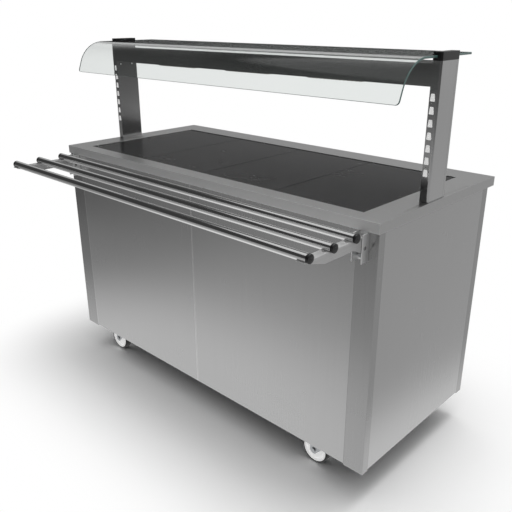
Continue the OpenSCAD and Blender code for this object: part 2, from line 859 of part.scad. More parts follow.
// Thermostats with fixed shafts, and the housings that the rocker keys turn in
module control_gear() {
    color(black_plastic) for (x = knob_x) translate([x, body_rear, control_z]) {
        block([-gear_body[0] / 2, -panel_t - gear_body[1], -gear_body[2] / 2], [gear_body[0] / 2, -panel_t, gear_body[2] / 2]);
        bar_y(-panel_t, bush_out, 0, 0, bush_r);
        bar_y(0, bush_out + shaft_l, 0, 0, shaft_r);
    }
    color(black_plastic) for (x = rocker_x) translate([x, body_rear, control_z]) difference() {
        union() {
            block([-housing_x, -housing_d, -housing_z], [housing_x, bezel_t, housing_z]);
            block([-housing_x - bezel_lap, 0, -housing_z - bezel_lap], [housing_x + bezel_lap, bezel_t, housing_z + bezel_lap]);
        }
        block([-housing_x + housing_wall, -housing_d + housing_wall, -housing_z + housing_wall],
            [housing_x - housing_wall, bezel_t + cut, housing_z - housing_wall]);
        bar_x(-housing_x - cut, housing_x + cut, rocker_pin_y, 0, rocker_pin_r + running_gap);
    }
}

module indicator_lamps() {
    color(amber) for (x = lamp_x) translate([x, body_rear, control_z]) {
        bar_y(-panel_t, 0, 0, 0, lamp_stem_r);
        bar_y(0, lens_rim_t, 0, 0, lens_rim_r);
        bar_y(lens_rim_t, lens_rim_t + lens_h, 0, 0, lens_r);
        bar_y(-panel_t - lamp_body_l, -panel_t, 0, 0, lamp_body_r);
    }
}

// Knob with a skirt and a pointer rib, bored for its shaft
module knob(x) {
    color(black_plastic) translate([x, body_rear + bush_out + knob_gap, control_z]) difference() {
        union() {
            bar_y(0, knob_skirt_h, 0, 0, knob_skirt_r);
            bar_y(knob_skirt_h, knob_depth, 0, 0, knob_r);
            block([-pointer_w / 2, knob_depth - pointer_h, 0], [pointer_w / 2, knob_depth + pointer_h, knob_r - pointer_w / 2]);
        }
        bar_y(-cut, shaft_l, 0, 0, shaft_r + running_gap);
    }
}
module knob_cupboard() { knob(knob_x[0]); }
module knob_hot_top() { knob(knob_x[1]); }

// Rocker key on two stub pins, drawn tipped to its off side
module rocker(x) {
    half = rocker_h / 2;
    color(black_plastic) translate([x, body_rear + rocker_pin_y, control_z]) rotate([-rocker_swing / 2, 0, 0]) {
        along_x(-rocker_w / 2, rocker_w / 2) polygon([[-rocker_back, -half / 2], [rocker_end, -half],
            [rocker_crown, 0], [rocker_end, half], [-rocker_back, half / 2]]);
        bar_x(-rocker_w / 2 - rocker_pin_l, rocker_w / 2 + rocker_pin_l, 0, 0, rocker_pin_r);
    }
}
module rocker_mains() { rocker(rocker_x[0]); }
module rocker_gantry() { rocker(rocker_x[1]); }

// The outline of the right-hand post in plan, drawn in by d all round
module post_outline(d) {
    r = gpost_r - d;
    x0 = gpost_in + d;
    x1 = gpost_out - d;
    y0 = gpost_y0 + d;
    y1 = gpost_y1 - d;
    rect([x0, y0], [x1 - r, y1]);
    rect([x0, y0 + r], [x1, y1 - r]);
    for (y = [y0 + r, y1 - r]) translate([x1 - r, y]) circle(r = r);
}

// Folded post: web to the inside, rounded outer corners, open outer side with two laps
// behind the cover, tapered slots up the front and two spare holes in the web
module gantry_post_right() {
    color(steel) difference() {
        union() {
            translate([0, 0, counter_h]) linear_extrude(gantry_h) {
                difference() {
                    post_outline(0);
                    post_outline(gpost_t);
                    rect([gpost_out - gpost_t - cut, cover_y0], [gpost_out + cut, cover_y1]);
                }
                rect([lap_x, cover_y0 - gpost_t], [lap_x + lap_t, cover_y0 + lap_w]);
                rect([lap_x, cover_y1 - lap_w], [lap_x + lap_t, cover_y1 + gpost_t]);
            }
            translate([0, 0, counter_h]) linear_extrude(foot_t) intersection() {
                post_outline(gpost_t / 2);
                rect([gpost_in, gpost_y0], [gpost_out - lap_t, gpost_y1]);
            }
        }
        along_y(gpost_y0 - cut, gpost_y0 + gpost_t + cut) for (i = [0 : slot_count - 1])
            translate([slot_x, counter_h + slot_z + i * slot_pitch]) slot_outline();
        for (y = [gpost_y0 + spare_hole_edge, gpost_y0 + spare_hole_edge + spare_hole_gap])
            bar_x(gpost_in - cut, gpost_in + gpost_t + cut, y, spare_hole_z, spare_hole_r);
        for (y = canopy_screw_y)
            bar_x(gpost_in - cut, gpost_in + gpost_t + cut, y, canopy_screw_z, screw_r + bolt_gap);
        foot_bolt_places() bar_z(-foot_t - cut, cut, 0, 0, foot_bolt_r + bolt_gap);
    }
}
module gantry_post_left() { mirror([1, 0, 0]) gantry_post_right(); }

// A slot wider at its foot than at its head
module slot_outline() {
    y = slot_h / 2 - slot_r;
    foot = slot_foot_w / 2;
    head = slot_head_w / 2;
    polygon([[-foot, -y], [foot, -y], [head, y], [-head, y]]);
    polygon([[-foot + slot_r, -y - slot_r], [foot - slot_r, -y - slot_r], [head - slot_r, y + slot_r], [-head + slot_r, y + slot_r]]);
    for (s = [-1, 1]) {
        translate([s * (foot - slot_r), -y]) circle(r = slot_r);
        translate([s * (head - slot_r), y]) circle(r = slot_r);
    }
}

module post_covers() {
    color(steel) both_sides() block([gpost_out - lap_t, cover_y0 + seat_gap, counter_h],
        [gpost_out, cover_y1 - seat_gap, gpost_top]);
}

// White plastic tube in each post, which shows through the slots
module post_liners() {
    color(white_plastic) both_sides() difference() {
        block([tube_x0, gpost_y0 + gpost_t + seat_gap, counter_h + foot_t],
            [tube_x1, gpost_y1 - gpost_t - seat_gap, gpost_top - plug_l]);
        block([tube_x0 + liner_tube_t, gpost_y0 + gpost_t + seat_gap + liner_tube_t, counter_h],
            [tube_x1 - liner_tube_t, gpost_y1 - gpost_t - seat_gap - liner_tube_t, gpost_top]);
    }
}

// Plugged into the posts, each with a groove for the end of the glass
module post_caps() {
    color(black_plastic) both_sides() difference() {
        union() {
            translate([0, 0, gpost_top]) linear_extrude(cap_h) post_outline(0);
            block([gpost_in + gpost_t + seat_gap, gpost_y0 + gpost_t + seat_gap, gpost_top - plug_l],
                [tube_x1, gpost_y1 - gpost_t - seat_gap, gpost_top]);
        }
        block([gpost_in - cut, gpost_y0 - cut, glass_z1 - glass_t],
            [glass_x + seat_gap, gpost_y1 + cut, glass_z1 + seat_gap]);
    }
}

// Channel between the posts, open below, with lips and closed ends
module canopy_shell() {
    color(dark_canopy) difference() {
        shell([-gpost_in, gpost_y0, canopy_z0], [gpost_in, gpost_y1, canopy_z1], canopy_t, [0, 0, 0]);
        block([-gpost_in + canopy_t, gpost_y0 + canopy_t + canopy_lip, canopy_z0 - cut],
            [gpost_in - canopy_t, gpost_y1 - canopy_t - canopy_lip, canopy_z0 + canopy_t + cut]);
        both_sides() for (y = canopy_screw_y)
            bar_x(gpost_in - canopy_t - cut, gpost_in + cut, y, canopy_screw_z, screw_r + bolt_gap);
    }
}

// Trough over the lamps: two sloping sides that stand on the canopy's lips, and a roof strip across them
module canopy_reflector() {
    z = canopy_z0 + canopy_t;
    foot = reflector_foot;
    roof = reflector_roof / 2;
    under = reflector_h - reflector_t;
    color(bright_metal) along_x(-gpost_in + canopy_t + seat_gap, gpost_in - canopy_t - seat_gap) translate([lamp_y, z]) {
        rect([-roof, under], [roof, reflector_h]);
        for (s = [-1, 1]) polygon([[s * foot, 0], [s * roof, under - seat_gap],
            [s * (roof - reflector_t), under - seat_gap], [s * (foot - reflector_t), 0]]);
    }
}

// The places of the lamps' centres
module lamp_places() {
    for (i = [0 : lamp_count - 1]) translate([(i - (lamp_count - 1) / 2) * lamp_pitch, lamp_y, lamp_z]) children();
}

module heat_lamps() {
    color(quartz) lamp_places() bar_x(-lamp_l / 2, lamp_l / 2, 0, 0, lamp_r);
}

// Ceramic blocks that hang from the reflector's roof and hold the lamps' ends
module lamp_holders() {
    roof_z = canopy_z0 + canopy_t + reflector_h - reflector_t - lamp_z;
    color(white_plastic) lamp_places() for (s = [-1, 1]) difference() {
        translate([s * (lamp_l / 2 - holder_w / 2), 0, 0])
            block([-holder_w / 2, -holder_d / 2, -holder_d / 2], [holder_w / 2, holder_d / 2, roof_z]);
        bar_x(-lamp_l / 2 - cut, lamp_l / 2 + cut, 0, 0, lamp_r + running_gap);
    }
}

// Slotted troughs below the lamps, hung on the canopy's lips
module lamp_guards() {
    z = canopy_z0 + canopy_t;
    half = lamp_l / 2 + guard_over;
    step = (2 * half - 2 * guard_bar) / guard_slots;
    color(bright_metal) lamp_places() translate([0, 0, z - lamp_z]) difference() {
        along_x(-half, half) difference() {
            union() {
                polygon([[-guard_top, 0], [-guard_foot, -guard_depth], [guard_foot, -guard_depth], [guard_top, 0]]);
                rect([-guard_flange, 0], [guard_flange, guard_t]);
            }
            polygon([[-guard_top + guard_t, guard_t + cut], [-guard_top + guard_t, 0], [-guard_foot + guard_t, -guard_depth + guard_t],
                [guard_foot - guard_t, -guard_depth + guard_t], [guard_top - guard_t, 0], [guard_top - guard_t, guard_t + cut]]);
        }
        for (i = [0 : guard_slots - 1]) translate([-half + 1.5 * guard_bar + i * step, 0, 0])
            block([0, -guard_slot_y, -guard_depth - cut], [step - guard_bar, guard_slot_y, guard_t]);
    }
}

// One sheet, flat over the gantry and bent down in front of it, with rounded lower corners
module gantry_glass() {
    bend = [front_y + glass_bend_y, glass_z1 - glass_r];
    down = [-cos(glass_turn), -sin(glass_turn)] * glass_drop;
    color(clear_glass) difference() {
        along_x(-glass_x, glass_x) polygon(concat(
            [[front_y + glass_rear, glass_z1]],
            [for (i = [0 : bend_steps]) bend + glass_r * bend_way(i)],
            [bend + glass_r * bend_way(bend_steps) + down, bend + (glass_r - glass_t) * bend_way(bend_steps) + down],
            [for (i = [bend_steps : -1 : 0]) bend + (glass_r - glass_t) * bend_way(i)],
            [[front_y + glass_rear, glass_z1 - glass_t]]));
        translate([0, bend[0], bend[1]]) rotate([glass_turn, 0, 0])
            for (s = [-1, 1]) translate([s * (glass_x - glass_corner_r), glass_corner_r - glass_drop, glass_r - glass_t - cut])
                difference() {
                    block([s > 0 ? 0 : -glass_corner_r - cut, -glass_corner_r - cut, 0],
                        [s > 0 ? glass_corner_r + cut : 0, 0, glass_t + 2 * cut]);
                    translate([0, 0, -cut]) cylinder(h = glass_t + 4 * cut, r = glass_corner_r);
                }
    }
}

// The direction from the bend's centre to its step i, from straight up round to the front
function bend_way(i) = [-sin(glass_turn * i / bend_steps), cos(glass_turn * i / bend_steps)];

// The places of a right-hand bracket's bolts, on its back plate's front
module bracket_bolt_places() {
    x = (bracket_in + bracket_out) / 2;
    translate([0, body_front - bracket_t, 0]) {
        for (s = [-1, 1]) translate([x + s * bracket_bolt_side, 0, bracket_bolt_z]) children();
        translate([x, 0, bracket_top_bolt_z]) children();
    }
}

// Channel with two cheeks, on the corner post
module tray_brackets() {
    color(steel) both_sides() difference() {
        union() {
            for (x = [bracket_in, bracket_out - bracket_t])
                block([x, body_front - bracket_d, bracket_z1 - bracket_h], [x + bracket_t, body_front, bracket_z1]);
            block([bracket_in, body_front - bracket_t, bracket_z1 - bracket_h], [bracket_out, body_front, bracket_z1]);
        }
        bar_x(bracket_in - cut, bracket_out + cut, pivot_y, pivot_z, pivot_r + running_gap);
        bracket_bolt_places() bar_y(-cut, bracket_t + cut, 0, 0, bracket_bolt_r + bolt_gap);
    }
}

module tray_pivots() {
    color(dark_steel) both_sides() {
        bar_x(bracket_in, bracket_out, pivot_y, pivot_z, pivot_r);
        bar_x(bracket_in - pin_head_t, bracket_in, pivot_y, pivot_z, pin_head_r);
        bar_x(bracket_out, bracket_out + pin_head_t, pivot_y, pivot_z, pin_head_r);
    }
}

// Side view of an arm: tapered to the tip, with a lobe round the pivot and a seat for each rail
module arm_outline() {
    tip = front_y - tray_reach;
    y_end = body_front - bracket_t - arm_end_gap;
    difference() {
        union() {
            polygon([[tip, arm_top], [tip, arm_top - arm_tip_h], [tip + arm_taper_l, arm_top - arm_h],
                [pivot_y - heel_l, arm_top - arm_h], [pivot_y - toe_out, pivot_z - toe_drop],
                [pivot_y + lobe_r, pivot_z], [y_end, arm_top]]);
            translate([pivot_y, pivot_z]) circle(r = lobe_r);
        }
        for (i = [0 : rail_count - 1]) translate([front_y - rail_first - i * rail_pitch, rail_z])
            circle(r = rail_r + running_gap);
    }
}

// Channels open below, holed for the pivots and between the rails
module tray_arms() {
    color(steel) both_sides() difference() {
        along_x(arm_in, arm_out) arm_outline();
        along_x(arm_in + arm_t, arm_out - arm_t) difference() {
            rect([front_y - tray_reach - cut, pivot_z - 2 * lobe_r], [body_front, arm_top - arm_t]);
            for (i = [0 : rail_count - 1]) translate([front_y - rail_first - i * rail_pitch, rail_z])
                circle(r = rail_r + arm_t);
        }
        bar_x(arm_in - cut, arm_out + cut, pivot_y, pivot_z, pivot_r + running_gap);
        for (i = [0 : rail_count - 2]) for (s = [-1, 1])
            bar_z(arm_top - arm_t - cut, arm_top + cut, (arm_in + arm_out) / 2 + s * arm_hole_r / 4,
                front_y - rail_first - i * rail_pitch - arm_hole_out, arm_hole_r);
    }
}

// The rails' centres
module rail_places() {
    for (i = [0 : rail_count - 1]) translate([0, front_y - rail_first - i * rail_pitch, rail_z]) children();
}

module tray_rails() {
    x = rail_x - rail_cap_t;
    color(bright_steel) rail_places() difference() {
        bar_x(-x, x, 0, 0, rail_r);
        bar_x(-x - cut, x + cut, 0, 0, rail_r - rail_wall);
    }
}

// Domed plugs in the rails' ends
module rail_caps() {
    x = rail_x - rail_cap_t;
    dome = rail_cap_t / 6;
    side_l = rail_cap_t - 2 * dome;
    color(black_plastic) both_sides() rail_places() {
        bar_x(x - rail_plug_l, x, 0, 0, rail_r - rail_wall - rail_plug_gap);
        bar_x(x, x + side_l, 0, 0, rail_r);
        translate([x + side_l, 0, 0]) rotate([0, 90, 0]) cylinder(h = dome, r1 = rail_r, r2 = rail_r - dome);
        translate([x + side_l + dome, 0, 0]) rotate([0, 90, 0]) cylinder(h = dome, r1 = rail_r - dome, r2 = rail_r - 3 * dome);
    }
}

castor_places = [[-castor_x, castor_y_front], [castor_x, castor_y_front],
    [-castor_x, castor_y_rear], [castor_x, castor_y_rear]];

// Top plates, each with its bearing and the pin that the fork swivels on
module castor_plates() {
    color(zinc) for (p = castor_places) translate([p[0], p[1], 0]) {
        difference() {
            block([-plate_half[0], -plate_half[1], castor_h - plate_t], [plate_half[0], plate_half[1], castor_h]);
            plate_bolt_places() bar_z(castor_h - plate_t - cut, castor_h + cut, 0, 0, castor_bolt_r + bolt_gap);
        }
        bar_z(crown_z + fork_t + head_gap, castor_h - plate_t, 0, 0, head_r);
        bar_z(crown_z - head_gap, castor_h - plate_t, 0, 0, kingpin_r);
        bar_z(crown_z - head_gap - kingpin_head_t, crown_z - head_gap, 0, 0, kingpin_head_r);
    }
}

// Side view of a fork leg round the swivel: upright behind, slanting in front
module leg_outline(braked) {
    tip = [-trail, wheel_r];
    corner = [leg_toe, crown_z - leg_depth];
    reach = norm(corner - tip);
    turn = atan2(corner[1] - tip[1], corner[0] - tip[0]) - acos(leg_tip_r / reach);
    heel = -trail - leg_tip_r;
    translate(tip) circle(r = leg_tip_r);
    polygon([tip, [heel, wheel_r], [heel, crown_z + fork_t], [leg_toe, crown_z + fork_t], corner,
        tip + leg_tip_r * [cos(turn), sin(turn)]]);
    if (braked) {
        translate(pedal_pin) circle(r = ear_r);
        polygon([[heel, crown_z + fork_t], pedal_pin + [0, ear_r], pedal_pin - [0, ear_r], [heel, pedal_pin[1] - ear_root]]);
    }
}

// Fork with its axle and, on the rear castors, the pin of the brake pedal
module castor_fork(i, braked) {
    side = leg_y + fork_t;
    color(fork_grey) translate([castor_places[i][0], castor_places[i][1], 0]) {
        difference() {
            union() {
                for (y = [-side, leg_y]) along_y(y, y + fork_t) leg_outline(braked);
                block([-trail - leg_tip_r, -side, crown_z], [leg_toe, side, crown_z + fork_t]);
                bar_z(crown_z, crown_z + fork_t, 0, 0, head_r);
            }
            bar_z(crown_z - cut, crown_z + fork_t + cut, 0, 0, kingpin_r + running_gap);
            bar_y(-side - cut, side + cut, -trail, wheel_r, axle_r + running_gap);
            if (braked) bar_y(-side - cut, side + cut, pedal_pin[0], pedal_pin[1], pedal_pin_r + running_gap);
        }
    }
    color(dark_steel) translate([castor_places[i][0], castor_places[i][1], 0]) {
        bar_y(-side, side, -trail, wheel_r, axle_r);
        for (y = [-side - axle_head_t, side]) bar_y(y, y + axle_head_t, -trail, wheel_r, axle_head_r);
        if (braked) {
            bar_y(-side, side, pedal_pin[0], pedal_pin[1], pedal_pin_r);
            for (y = [-side - pin_rivet_t, side]) bar_y(y, y + pin_rivet_t, pedal_pin[0], pedal_pin[1], pin_rivet_r);
        }
    }
}
module castor_fork_1() { castor_fork(0, false); }
module castor_fork_2() { castor_fork(1, false); }
module castor_fork_3() { castor_fork(2, true); }
module castor_fork_4() { castor_fork(3, true); }

// Plastic centre with a groove round it, and the rubber tyre keyed into that groove
module castor_wheel(i) {
    half = wheel_w / 2;
    hub_half = half - hub_step;
    translate([castor_places[i][0] - trail, castor_places[i][1], wheel_r]) {
        color(hub_plastic) difference() {
            union() {
                bar_y(-hub_half, hub_half, 0, 0, hub_r - groove_depth);
                for (y = [-hub_half, hub_half - hub_flange]) bar_y(y, y + hub_flange, 0, 0, hub_r);
                bar_y(-half - boss_over, half + boss_over, 0, 0, boss_r);
            }
            for (y = [-hub_half - cut, hub_half - hub_dish]) difference() {
                bar_y(y, y + hub_dish + cut, 0, 0, hub_face_r);
                bar_y(y - cut, y + hub_dish + 2 * cut, 0, 0, boss_r + hub_dish);
            }
            bar_y(-wheel_w, wheel_w, 0, 0, axle_r + running_gap);
        }
        color(rubber) difference() {
            union() {
                bar_y(-half + tyre_edge, half - tyre_edge, 0, 0, wheel_r);
                for (s = [-1, 1]) rotate([-90 * s, 0, 0]) translate([0, 0, half - tyre_edge])
                    cylinder(h = tyre_edge, r1 = wheel_r, r2 = wheel_r - tyre_edge);
            }
            bar_y(-wheel_w, wheel_w, 0, 0, hub_r - groove_depth + running_gap);
            for (y = [-half - cut, hub_half - hub_flange])
                bar_y(y, y + half - hub_half + hub_flange + cut, 0, 0, hub_r + running_gap);
        }
    }
}
module castor_wheel_1() { castor_wheel(0); }
module castor_wheel_2() { castor_wheel(1); }
module castor_wheel_3() { castor_wheel(2); }
module castor_wheel_4() { castor_wheel(3); }

// Foot pedal on its pin behind the wheel, with a shoe that swings against the tyre
module brake_pedal(i) {
    half = leg_y - pedal_side_gap;
    p = pedal_pin;
    color(pedal_red) translate([castor_places[i][0], castor_places[i][1], 0]) difference() {
        along_y(-half, half) {
            translate(p) circle(r = pedal_hub_r);
            rect(p + [-shoe_back - shoe_t, -pedal_t], p + [0, pedal_t / 2]);
            rect(p + [-shoe_back - shoe_t, -shoe_drop], p + [-shoe_back, 0]);
            rect(p + [-shoe_back - pad_l, -pedal_t / 2], p + [-shoe_back, pedal_t / 2]);
        }
        bar_y(-half - cut, half + cut, p[0], p[1], pedal_pin_r + running_gap);
    }
}
module brake_pedal_3() { brake_pedal(2); }
module brake_pedal_4() { brake_pedal(3); }

// Gland in the rear plinth with its inside nut; the cable's hole runs right through
module cable_gland() {
    color(black_plastic) difference() {
        union() {
            bar_y(body_rear - gland_inside, body_rear, gland_x, gland_z, gland_r);
            bar_y(body_rear, body_rear + gland_nut_t, gland_x, gland_z, gland_nut_r);
            translate([gland_x, body_rear + gland_nut_t, gland_z]) rotate([-90, 0, 0])
                cylinder(h = gland_dome_l, r1 = gland_dome_r, r2 = gland_dome_r - gland_nut_t);
            bar_y(body_rear - panel_t - gland_nut_t, body_rear - panel_t, gland_x, gland_z, gland_nut_r);
        }
        bar_y(body_rear - gland_inside - cut, body_rear + gland_nut_t + gland_dome_l + cut, gland_x, gland_z, gland_bore_r);
    }
}

// Bolt along +Z with its head below the plane, for plates of thickness grip, and its nut
module bolt(grip, r) {
    translate([0, 0, -head_t]) cylinder(h = head_t, r = hex_ratio * r, $fn = 6);
    cylinder(h = grip + nut_t + cut, r = r, $fn = small_fn);
    translate([0, 0, grip]) cylinder(h = nut_t, r = hex_ratio * r, $fn = 6);
}

// Bolts of the castors, the brackets and the gantry's feet with their backing plates,
// and the screws at the canopy's ends
module fasteners() {
    color(zinc) {
        for (p = castor_places) translate([p[0], p[1], castor_h - plate_t])
            plate_bolt_places() bolt(plate_t + frame_t, castor_bolt_r);
        both_sides() {
            bracket_bolt_places() rotate([-90, 0, 0]) bolt(bracket_t + post_t, bracket_bolt_r);
            foot_bolt_places() rotate([180, 0, 0]) bolt(foot_t + top_sheet + backing_t, foot_bolt_r);
            difference() {
                block([gpost_in, gpost_y0, counter_h - top_sheet - backing_t],
                    [counter_w / 2 - 2 * top_sheet, gpost_y1, counter_h - top_sheet]);
                foot_bolt_places() bar_z(-foot_t - top_sheet - backing_t - cut, cut, 0, 0, foot_bolt_r + bolt_gap);
            }
            for (y = canopy_screw_y) translate([gpost_in - canopy_t, y, canopy_screw_z]) rotate([0, 90, 0]) {
                translate([0, 0, -screw_head_t]) cylinder(h = screw_head_t, r = screw_head_r, $fn = small_fn);
                cylinder(h = canopy_t + gpost_t, r = screw_r, $fn = small_fn);
            }
        }
    }
}

worktop();
hot_tiles();
tile_seal();
hot_top_tray();
tile_heaters();
insulation();
front_panel_left();
front_panel_right();
side_panel_left();
side_panel_right();
front_corner_posts();
rear_corner_posts();
base_frame();
cupboard_floor();
cupboard_ceiling();
liner_front();
liner_sides();
mid_shelf();
floor_heater();
heater_cover();
rear_fascia();
rear_plinth();
door_tracks();
door_left();
door_right();
control_gear();
indicator_lamps();
knob_cupboard();
knob_hot_top();
rocker_mains();
rocker_gantry();
gantry_post_left();
gantry_post_right();
post_covers();
post_liners();
post_caps();
canopy_shell();
canopy_reflector();
heat_lamps();
lamp_holders();
lamp_guards();
gantry_glass();
tray_brackets();
tray_pivots();
tray_arms();
tray_rails();
rail_caps();
castor_plates();
castor_fork_1();
castor_fork_2();
castor_fork_3();
castor_fork_4();
castor_wheel_1();
castor_wheel_2();
castor_wheel_3();
castor_wheel_4();
brake_pedal_3();
brake_pedal_4();
cable_gland();
fasteners();
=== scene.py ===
# Heated servery counter on castors: a steel cabinet with ceramic glass hot plates, a heated gantry
# under a curved glass, a tray slide that folds down and a hot cupboard with sliding doors behind.
import math

import bmesh
import bpy
from mathutils import Matrix, Vector


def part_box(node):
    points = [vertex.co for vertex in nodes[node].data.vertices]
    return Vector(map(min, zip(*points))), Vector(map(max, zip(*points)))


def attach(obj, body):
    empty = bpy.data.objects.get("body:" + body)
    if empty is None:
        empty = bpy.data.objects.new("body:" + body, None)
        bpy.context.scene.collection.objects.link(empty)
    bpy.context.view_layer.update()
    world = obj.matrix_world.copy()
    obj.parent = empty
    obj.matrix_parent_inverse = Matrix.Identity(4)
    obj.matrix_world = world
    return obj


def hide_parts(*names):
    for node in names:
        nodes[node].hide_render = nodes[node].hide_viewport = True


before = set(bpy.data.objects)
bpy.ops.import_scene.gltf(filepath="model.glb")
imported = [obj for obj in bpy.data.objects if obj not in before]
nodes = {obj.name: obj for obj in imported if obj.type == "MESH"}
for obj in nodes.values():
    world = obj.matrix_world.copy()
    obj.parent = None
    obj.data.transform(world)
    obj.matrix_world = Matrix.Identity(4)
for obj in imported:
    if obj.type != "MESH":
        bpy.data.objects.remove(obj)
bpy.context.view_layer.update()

# The place it is seen from: beyond the customers' right-hand corner of the counter, a little
# higher than the gantry, through a slightly long lens.
camera = bpy.data.objects.new("camera", bpy.data.cameras.new("camera"))
camera.data.sensor_width, camera.data.lens = 36.0, 43.61
camera_place = (1.5316, -1.4895, 1.3917)
turn_left, look_down, lean = math.radians(43.675), math.radians(21.338), math.radians(-0.174)
camera.matrix_world = (
    Matrix.Translation(camera_place)
    @ Matrix.Rotation(turn_left, 4, "Z")
    @ Matrix.Rotation(math.pi / 2 - look_down, 4, "X")
    @ Matrix.Rotation(lean, 4, "Z")
)
bpy.context.scene.collection.objects.link(camera)
bpy.context.scene.camera = camera
bpy.context.scene.view_settings.view_transform = "Standard"


# The studio: white where it is seen straight on, and darker where the steel mirrors it, but for a
# lit wall behind the counter and a bright ceiling. One wide soft lamp hangs above the counter, and
# the plain pale floor keeps the counter's shadow and turns white away from it.
class Value:
    """A value in a node tree: a sum on it adds Math nodes, and node() adds a node of any kind."""

    def __init__(self, tree, socket=None):
        self.tree, self.socket = tree, socket

    def node(self, kind, settings=None, sockets=None, out=0):
        made = self.tree.nodes.new(kind)
        for name, value in (settings or {}).items():
            setattr(made, name, value)
        for key, value in (sockets or {}).items():
            if isinstance(value, Value):
                self.tree.links.new(value.socket, made.inputs[key])
            else:
                made.inputs[key].default_value = value
        return Value(self.tree, made.outputs[out] if len(made.outputs) else None)

    def sum(self, operation, first, second=0.0):
        return self.node("ShaderNodeMath", {"operation": operation}, {0: first, 1: second})

    def __add__(self, other):
        return self.sum("ADD", self, other)

    def __sub__(self, other):
        return self.sum("SUBTRACT", self, other)

    def __rsub__(self, other):
        return self.sum("SUBTRACT", other, self)

    def __mul__(self, other):
        return self.sum("MULTIPLY", self, other)

    __radd__ = __add__
    __rmul__ = __mul__

    def between(self, low, high, first=0.0, last=1.0):
        """This value's way from low to high, as a smooth change from first to last."""
        ends = {0: self, 1: low, 2: high, 3: first, 4: last}
        return self.node("ShaderNodeMapRange", {"interpolation_type": "SMOOTHSTEP"}, ends)

    def mixed(self, first, last):
        """The colour this far on the way from first to last."""
        return self.node("ShaderNodeMix", {"data_type": "RGBA"}, {0: self, 6: first, 7: last}, out=2)

    def vector(self, operation, second=(0, 0, 0), out="Vector"):
        """Vector Math on this place or way and a second one."""
        return self.node("ShaderNodeVectorMath", {"operation": operation}, {0: self, 1: second}, out)

    def axis(self, letter):
        """How far this place or way goes along X, Y or Z."""
        return self.node("ShaderNodeSeparateXYZ", {}, {0: self}, letter)


def grey(level):
    return (level, level, level, 1)


def ways_seen(start):
    """How far a ray comes straight or through glass from the camera, and how far from polished metal."""
    direct = start.sum("MAXIMUM", start.node("ShaderNodeLightPath", out="Is Camera Ray"),
                       start.node("ShaderNodeLightPath", out="Is Transmission Ray"))
    mirrored = start.sum("MINIMUM", start.node("ShaderNodeLightPath", out="Glossy Depth"), 1.0)
    scattered = start.sum("MINIMUM", start.node("ShaderNodeLightPath", out="Diffuse Depth"), 1.0)
    return direct * (1 - mirrored) * (1 - scattered), mirrored * (1 - scattered)


world = bpy.data.worlds.new("studio")
world.use_nodes = True
world.node_tree.nodes.clear()
bpy.context.scene.world = world
sky = Value(world.node_tree)
sky_way = sky.node("ShaderNodeTexCoord", out="Generated")
sky_height = sky_way.axis("Z")
seen_straight, in_metal = ways_seen(sky)
white_level, low_dark, high_dark, wall_sheen, ceiling_sheen = 1.0, 0.12, 0.05, 0.57, 0.7
right_wall, wall_from, wall_to = (0.34, 0.94, 0.0), 0.86, 0.95
back_wall = sky_way.axis("Y").between(-0.1, 0.35) * sky_height.between(0.08, 0.22)
back_wall = back_wall * sky_height.between(0.42, 0.6, 1.0, 0.12)
sky_round = sky_way.vector("MULTIPLY", (1, 1, 0)).vector("NORMALIZE")
side_wall = sky_round.vector("DOT_PRODUCT", right_wall, "Value").between(wall_from, wall_to)
wall_share = sky.sum("MAXIMUM", back_wall, side_wall * sky_height.between(0.6, 0.9, 1.0, 0.3))
dark_sheen = sky_height.between(-0.1, 0.03, low_dark, high_dark)
sheen_level = dark_sheen + wall_share * (wall_sheen - dark_sheen)
sheen_level = sheen_level + sky_height.between(0.69, 0.74) * ceiling_sheen
soft_light = sky_height.between(0.3, 0.95, 0.04, 1.06)
unseen_level = soft_light + in_metal * (sheen_level - soft_light)
sky_level = unseen_level + seen_straight * (white_level - unseen_level)
sky_glow = sky.node("ShaderNodeBackground", {}, {"Color": grey(1.0), "Strength": sky_level})
sky.node("ShaderNodeOutputWorld", {}, {"Surface": sky_glow})

lamp = bpy.data.objects.new("soft_lamp", bpy.data.lights.new("soft_lamp", "AREA"))
lamp.data.shape, lamp.data.size, lamp.data.size_y, lamp.data.energy = "RECTANGLE", 1.6, 1.5, 46
lamp_place, lamp_aim = Vector((0.8, 0.5, 3.3)), Vector((0.05, 0.1, 0.4))
lamp_turn = (lamp_aim - lamp_place).to_track_quat("-Z", "Y").to_matrix().to_4x4()
lamp.matrix_world = Matrix.Translation(lamp_place) @ lamp_turn
bpy.context.scene.collection.objects.link(lamp)

floor_half = 11.0
floor_corners = [(x * floor_half, y * floor_half, 0) for x, y in ((-1, -1), (1, -1), (1, 1), (-1, 1))]
floor_mesh = bpy.data.meshes.new("floor")
floor_mesh.from_pydata(floor_corners, [], [(0, 1, 2, 3)])
floor = bpy.data.objects.new("floor", floor_mesh)
bpy.context.scene.collection.objects.link(floor)
floor_paint = bpy.data.materials.new("pale_floor")
floor_paint.use_nodes = True
floor_paint.node_tree.nodes.clear()
paint = Value(floor_paint.node_tree)
floor_place = paint.node("ShaderNodeTexCoord", out="Object")
floor_seen, floor_in_metal = ways_seen(paint)
foot_middle, foot_half, far_from = (0.07, 0.11, 0), (0.735, 0.31, 0), (0.15, 0.1, 0)
past_foot = floor_place.vector("SUBTRACT", foot_middle).vector("ABSOLUTE").vector("SUBTRACT", foot_half)
beyond_foot = past_foot.vector("MAXIMUM").vector("LENGTH", out="Value")
to_right, to_front = floor_place.axis("X"), floor_place.axis("Y") * -1.0
spread = floor_place.vector("MULTIPLY", (0.625, 1, 1)).vector("DISTANCE", (-0.1, 0, 0), "Value")
front_sheen = spread.between(0.45, 1.25, 1.1, 0.56) + spread.between(1.2, 2.8, 0.0, -0.34)
front_sheen = front_sheen + to_front.between(2.4, 3.1, 0.0, 0.26)
